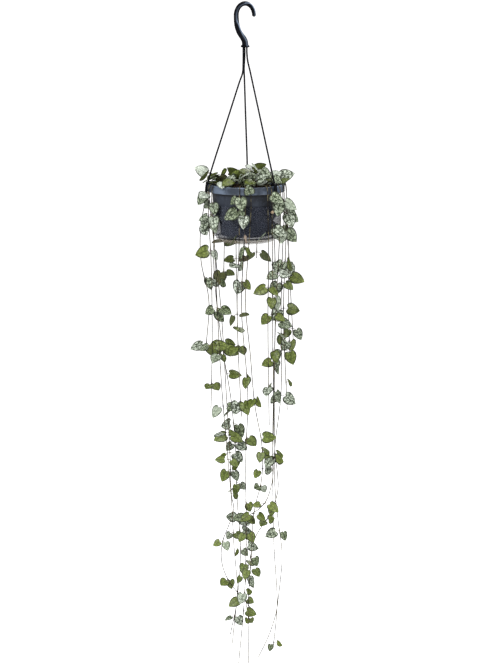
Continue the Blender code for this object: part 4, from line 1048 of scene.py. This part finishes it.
def strand_piece(name, data, plastic):
    """A strand: a round line on the smooth curve through its points, and the saddle clip moulded to its
    end, a band of changing thickness carried up inside the rim, over it and down outside."""
    path = rounded_path(strand_path(data), 8)
    radii = np.full(len(path), STRAND_SHOWN)
    band = rounded_path(CLIP_BAND, 6)
    away, sideways = polar(1.0, data["bearing"], 0.0), polar(1.0, data["bearing"] + 90, 0.0)
    centre = band[:, :1] * away + (RIM_TOP + band[:, 1:2]) * np.array((0.0, 0.0, 1.0))
    from_end = np.minimum(np.arange(len(band)), np.arange(len(band))[::-1])
    ends = np.minimum(1.0, 0.55 + 0.45 * from_end / 2)
    clip = tube(centre, band[:, 2] * ends, CLIP_WIDTH / 2 * (0.85 + 0.15 * ends), sideways, 28, 0.42)
    piece = Piece(tube(path, radii, radii, (0.0, 1.0, 0.0), 12), clip)
    piece.make("moulded_" + name, [plastic], [name], 50)


def pot_piece(plastic):
    """The pot: one outline turned about the Z axis, its corners eased, with a rolled bead round the top of
    the rim, a fine groove under it and the drain hole in the middle of its base."""
    bead = np.array(((-0.9, 0.1), (0.4, -0.5), (0.4, -2.0), (-0.2, -2.6))) + (RIM_RADIUS, RIM_TOP)
    skirt = np.array(((-0.2, 0.8), (0.1, 0.0), (-1.4, 0.0), (-2.0, 1.6))) + (RIM_RADIUS, RIM_FOOT)
    outline = [(DRAIN_RADIUS, POT_BASE_Z), (DRAIN_RADIUS, POT_BASE_Z + WALL), *POT_INSIDE, *bead, *skirt,
               *POT_OUTSIDE[3:], (DRAIN_RADIUS, POT_BASE_Z)]
    Piece(turned(eased(outline, 0.6))).make("moulded_pot", [plastic], ["pot"], 35)


def bowl_piece(plastic):
    """The drip bowl: its two outlines turned about the Z axis, their corners eased."""
    outline = [(0, BOWL_BASE_Z), *reversed(BOWL_OUTSIDE), *BOWL_INSIDE, (0, BOWL_BASE_Z + BOWL_WALL)]
    Piece(turned(eased(outline, 1.3))).make("clear_drip_bowl", [plastic], ["drip_bowl"], 60)


def soil_piece(matter):
    """The soil: rings of growing radius r at the height top + 1.5 (1 - (r/R)^2) plus forty small waves of
    random length and direction, then down the pot's wall to its floor."""
    draw = np.random.default_rng(SOIL_SEED)
    floor = POT_BASE_Z + WALL + CLEARANCE
    radius = np.append(np.linspace(0.0, SOIL_FLAT, SOIL_RINGS),
                       (53.0, 55.6, 51.6, POT_FOOT_RADIUS + 1.4 - WALL, POT_FOOT_RADIUS - WALL - 0.6, 0.0))
    height = SOIL_TOP + 1.5 * (1 - (radius / SOIL_FLAT)**2)
    height[SOIL_RINGS:] = (SOIL_TOP - 1.2, SOIL_TOP - 3.2, SOIL_TOP - 8.0, POT_TAPER_Z + 0.4, floor, floor)
    points, faces = turned(np.stack((radius, height), -1), SOIL_SIDES)
    spans = ((4.5, 15.0), (0, 2 * math.pi), (0, 6.3))
    length, heading, phase = (draw.uniform(low, high, SOIL_WAVES) for low, high in spans)
    run = points[:, :1] * np.cos(heading) + points[:, 1:2] * np.sin(heading)
    lumps = np.clip((np.cos(2 * math.pi / length * run + phase) * length).sum(1) * 0.018, -0.9, 1.4)
    points[:, 2] += np.where(np.arange(len(points)) < (SOIL_RINGS + 1) * SOIL_SIDES, lumps, 0.0)
    Piece((points, faces)).make("crumbly_soil", [matter], ["soil"], 70)


def petiole(leaf):
    """A leaf's stalk: p = (1-t)^2 foot + 2t(1-t) handle + t^2 end, so that it meets the blade along its
    midrib."""
    t = np.linspace(0, 1, 7)[:, None]
    handle = leaf.base - leaf.along * 0.45 * np.linalg.norm(leaf.base - leaf.foot)
    end = leaf.base + leaf.along * 1.2 - leaf.normal * 0.1
    path = (1 - t)**2 * leaf.foot + 2 * t * (1 - t) * handle + t**2 * end
    radii = np.linspace(0.5, 0.36, 7)
    return tube(path, radii, radii, np.cross(leaf.along, leaf.normal), 5)


def lantern(foot):
    """The lantern flower: a circle whose radius follows smooth steps - bulb, slim tube, flared mouth,
    closed cap."""
    steps = np.array(((0.0, 0.45), (0.16, 0.5), (0.24, 1.6), (0.36, 2.6), (0.52, 1.8), (0.64, 1.2),
                      (0.8, 1.3), (0.88, 1.9), (0.93, 1.3), (1.0, 0.3)))
    t = np.linspace(0, 1, 30)
    radii = smooth_between(steps[:, 0], steps[:, 1:], t)[:, 0]
    path = foot + np.array((0.0, 0.3, 0.0)) + t[:, None] * FLOWER_LENGTH * np.array((0.18, -0.35, -0.92))
    return tube(path, radii, radii, (1.0, 0.0, 0.0), 14)


def tuber(foot):
    """The tuber: a ball whose radius swells and sinks a little with height."""
    turn = np.linspace(0.12, math.pi - 0.12, 12)
    path = foot + np.stack((0.6 + 0 * turn, -1.2 + 0 * turn, -TUBER_RADIUS * np.cos(turn)), -1)
    radii = TUBER_RADIUS * np.sin(turn) * (1 + 0.07 * np.sin(5 * turn))
    return tube(path, radii, radii, (1.0, 0.0, 0.0), 14)


def growing_piece(name, bearing, stops, looks, skins, extras):
    """A stem with its leaves. The stem is a circle carried along the smooth curve through its stops, a
    little thinner towards the tip, with a knuckle where each pair of leaves grows."""
    steps = 3
    path = rounded_path([place for place, leaves in stops], steps)
    radii = STEM_SHOWN * np.linspace(1.0, 0.95, len(path))
    radii[::steps] += KNUCKLE * np.array([bool(leaves) for place, leaves in stops])
    piece = Piece((*tube(path, radii, radii, polar(1.0, bearing + 90, 0), 7), 2))
    for leaf in [leaf for place, leaves in stops for leaf in leaves]:
        points, faces, reads = blade(leaf, looks(leaf))
        piece.add(points, faces, np.repeat((0, 1), len(faces) // 2), reads)
        piece.add(*petiole(leaf), 2)
    for surface in extras:
        piece.add(*surface, 3)
    piece.make("leafy_" + name, skins, [name], 75)


# How likely a leaf is to be olive, and to be nearly all silver, at heights from the lowest leaves to the
# crown
LOOK_HEIGHTS = (-800.0, -400.0, -375.0, -298.0, -280.0)
OLIVE_SHARE = (0.78, 0.48, 0.12, 0.06, 0.42)
SILVER_SHARE = (0.02, 0.06, 0.18, 0.22, 0.22)


def silvering(draw):
    """Draws each leaf's look, olive, marbled or nearly all silver, by the shares at its height."""
    def look(leaf):
        height, kind = leaf.base[2], draw.random()
        low, high = 0.4, 0.78
        if kind < np.interp(height, LOOK_HEIGHTS, OLIVE_SHARE):
            low, high = 0.0, 0.2
        elif kind > 1 - np.interp(height, LOOK_HEIGHTS, SILVER_SHARE):
            low, high = 0.84, 1.0
        return Look(draw.uniform(low, high), draw)
    return look


# Studio


def add_camera():
    """The camera at the photograph's viewing angle."""
    data = bpy.data.cameras.new("camera")
    data.lens, data.sensor_width, data.clip_end = LENS, SENSOR, 200.0
    camera = linked("camera", data)
    camera.location = CAMERA_PLACE
    camera.rotation_euler = (math.pi / 2 - CAMERA_PITCH, 0, 0)
    bpy.context.scene.camera = camera


def add_light(name, spot, aim_z, size, power):
    """A square soft light that faces a point on the Z axis."""
    data = bpy.data.lights.new(name, "AREA")
    data.size, data.energy = size, power
    light = linked(name, data)
    light.location = spot
    light.rotation_euler = (Vector((0, 0, aim_z)) - Vector(spot)).to_track_quat("-Z", "Y").to_euler()


def add_floor():
    """The pale floor, which shows as white."""
    mesh = bpy.data.meshes.new("floor")
    corners = ((-60, -60), (60, -60), (60, 60), (-60, 60))
    mesh.from_pydata([(x, y, FLOOR_Z) for x, y in corners], [], [(0, 1, 2, 3)])
    floor = linked("floor", mesh)
    material, tree, shader = new_finish("pale_floor", 0.9)
    feed(shader, {"Base Color": mixed(noise(spots(tree), 1.5), (238, 238, 238), (244, 244, 244)),
                  "Emission Color": (1, 1, 1, 1),
                  "Emission Strength": times(place(tree, "LightPath").outputs["Is Camera Ray"], 0.9)})
    mesh.materials.append(material)


def add_surroundings():
    """White surroundings, which throw less light from behind."""
    world = bpy.data.worlds.new("white_surroundings")
    world.use_nodes = True
    tree = world.node_tree
    dim = spanned(along_axis(spots(tree, "Generated"), "Y"), -0.4, 0.45, 0.6, 0.03)
    feed(tree.nodes["Background"], {"Strength": most(dim, place(tree, "LightPath").outputs["Is Camera Ray"]),
                                    "Color": (1, 1, 1, 1)})
    bpy.context.scene.world = world
    bpy.context.scene.view_settings.view_transform = "Standard"


def add_holder():
    """The hook, the strands, the pot, the drip bowl and the soil."""
    scuffs = scuffs_group()
    highlighted_plastic = moulded_plastic("dark_plastic_painted_highlight", scuffs, (3, 3, 5), (30, 33, 41), 0.5, 34.0, 0.04)
    line = moulded_plastic("dark_line", scuffs, (8, 9, 13), (26, 28, 34), 0.5, 60.0, 0.1)
    pot_plastic_painted_light = moulded_plastic("dark_pot_painted_light", scuffs, (13, 15, 22), (96, 106, 124), 0.42, 34.0, 0.3)
    # Painted highlight along the hook's rib, as a soft light from the upper right would catch it
    recolour(highlighted_plastic, lambda tree: attribute(tree, "painted_highlight"), (150, 166, 190))
    # Dust and painted highlight on the pot's rim
    recolour(pot_plastic_painted_light, rim_dust_and_painted_highlight, (112, 125, 145))
    # Painted shade: a shadow under the rim and darkening along the pot's foot
    recolour(pot_plastic_painted_light, pot_shadow, (5, 5, 7))
    hook_piece(highlighted_plastic)
    for name, data in STRANDS.items():
        strand_piece(name, data, line)
    pot_piece(pot_plastic_painted_light)
    bowl_piece(smoky_plastic(scuffs))
    soil_piece(peat())


def add_plant():
    """The crown sprigs, then the trailing stems, each with its leaves."""
    marbling = marbling_group()
    skins = [upper_leaf(marbling), under_leaf(marbling), stem_skin()]
    looks = silvering(random.Random(LOOK_SEED))
    trailers = make_trailers()
    sprigs = {"sprig_" + name: (data[0], sprig_route(*data)) for name, data in SPRIGS.items()}
    garden = Garden(standing_trees(trailers, [path for bearing, path in sprigs.values()]))
    grown = {FLOWER_TRAILER: (lantern, FLOWER_DROP, lantern_skin),
             TUBER_TRAILER: (tuber, TUBER_DROP, tuber_skin)}
    draw = random.Random(GROWTH_SEED)
    for name, (bearing, path) in sprigs.items():
        stops = grow_sprig_leaves(garden, name, bearing, path, draw)
        growing_piece(name, bearing, stops, looks, skins, [])
    for trailer in trailers:
        leaves_at = grow_trailer_leaves(garden, trailer, draw)
        extras, worn = [], skins
        if trailer.name in grown:
            shape, drop, skin = grown[trailer.name]
            extras, worn = [shape(trailer.at(drop))], [*skins, skin()]
        stops = trailer.stops(leaves_at, LONGEST_STRETCH)
        growing_piece(trailer.name, trailer.bearing, stops, looks, worn, extras)


def main():
    """Loads the solids, dresses them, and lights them."""
    add_camera()
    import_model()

    add_holder()
    add_plant()
    add_floor()
    add_surroundings()
    add_light("key", (-1.5, -2.6, 1.3), -0.45, 1.2, 80)
    add_light("fill", (2.4, -1.6, 0.9), -0.3, 0.8, 34)
    add_light("top", (0.2, 0.4, 1.6), -0.3, 1.0, 16)
    add_light("back", (1.3, 2.6, 1.5), -0.4, 1.4, 44)
    bpy.context.view_layer.update()


main()
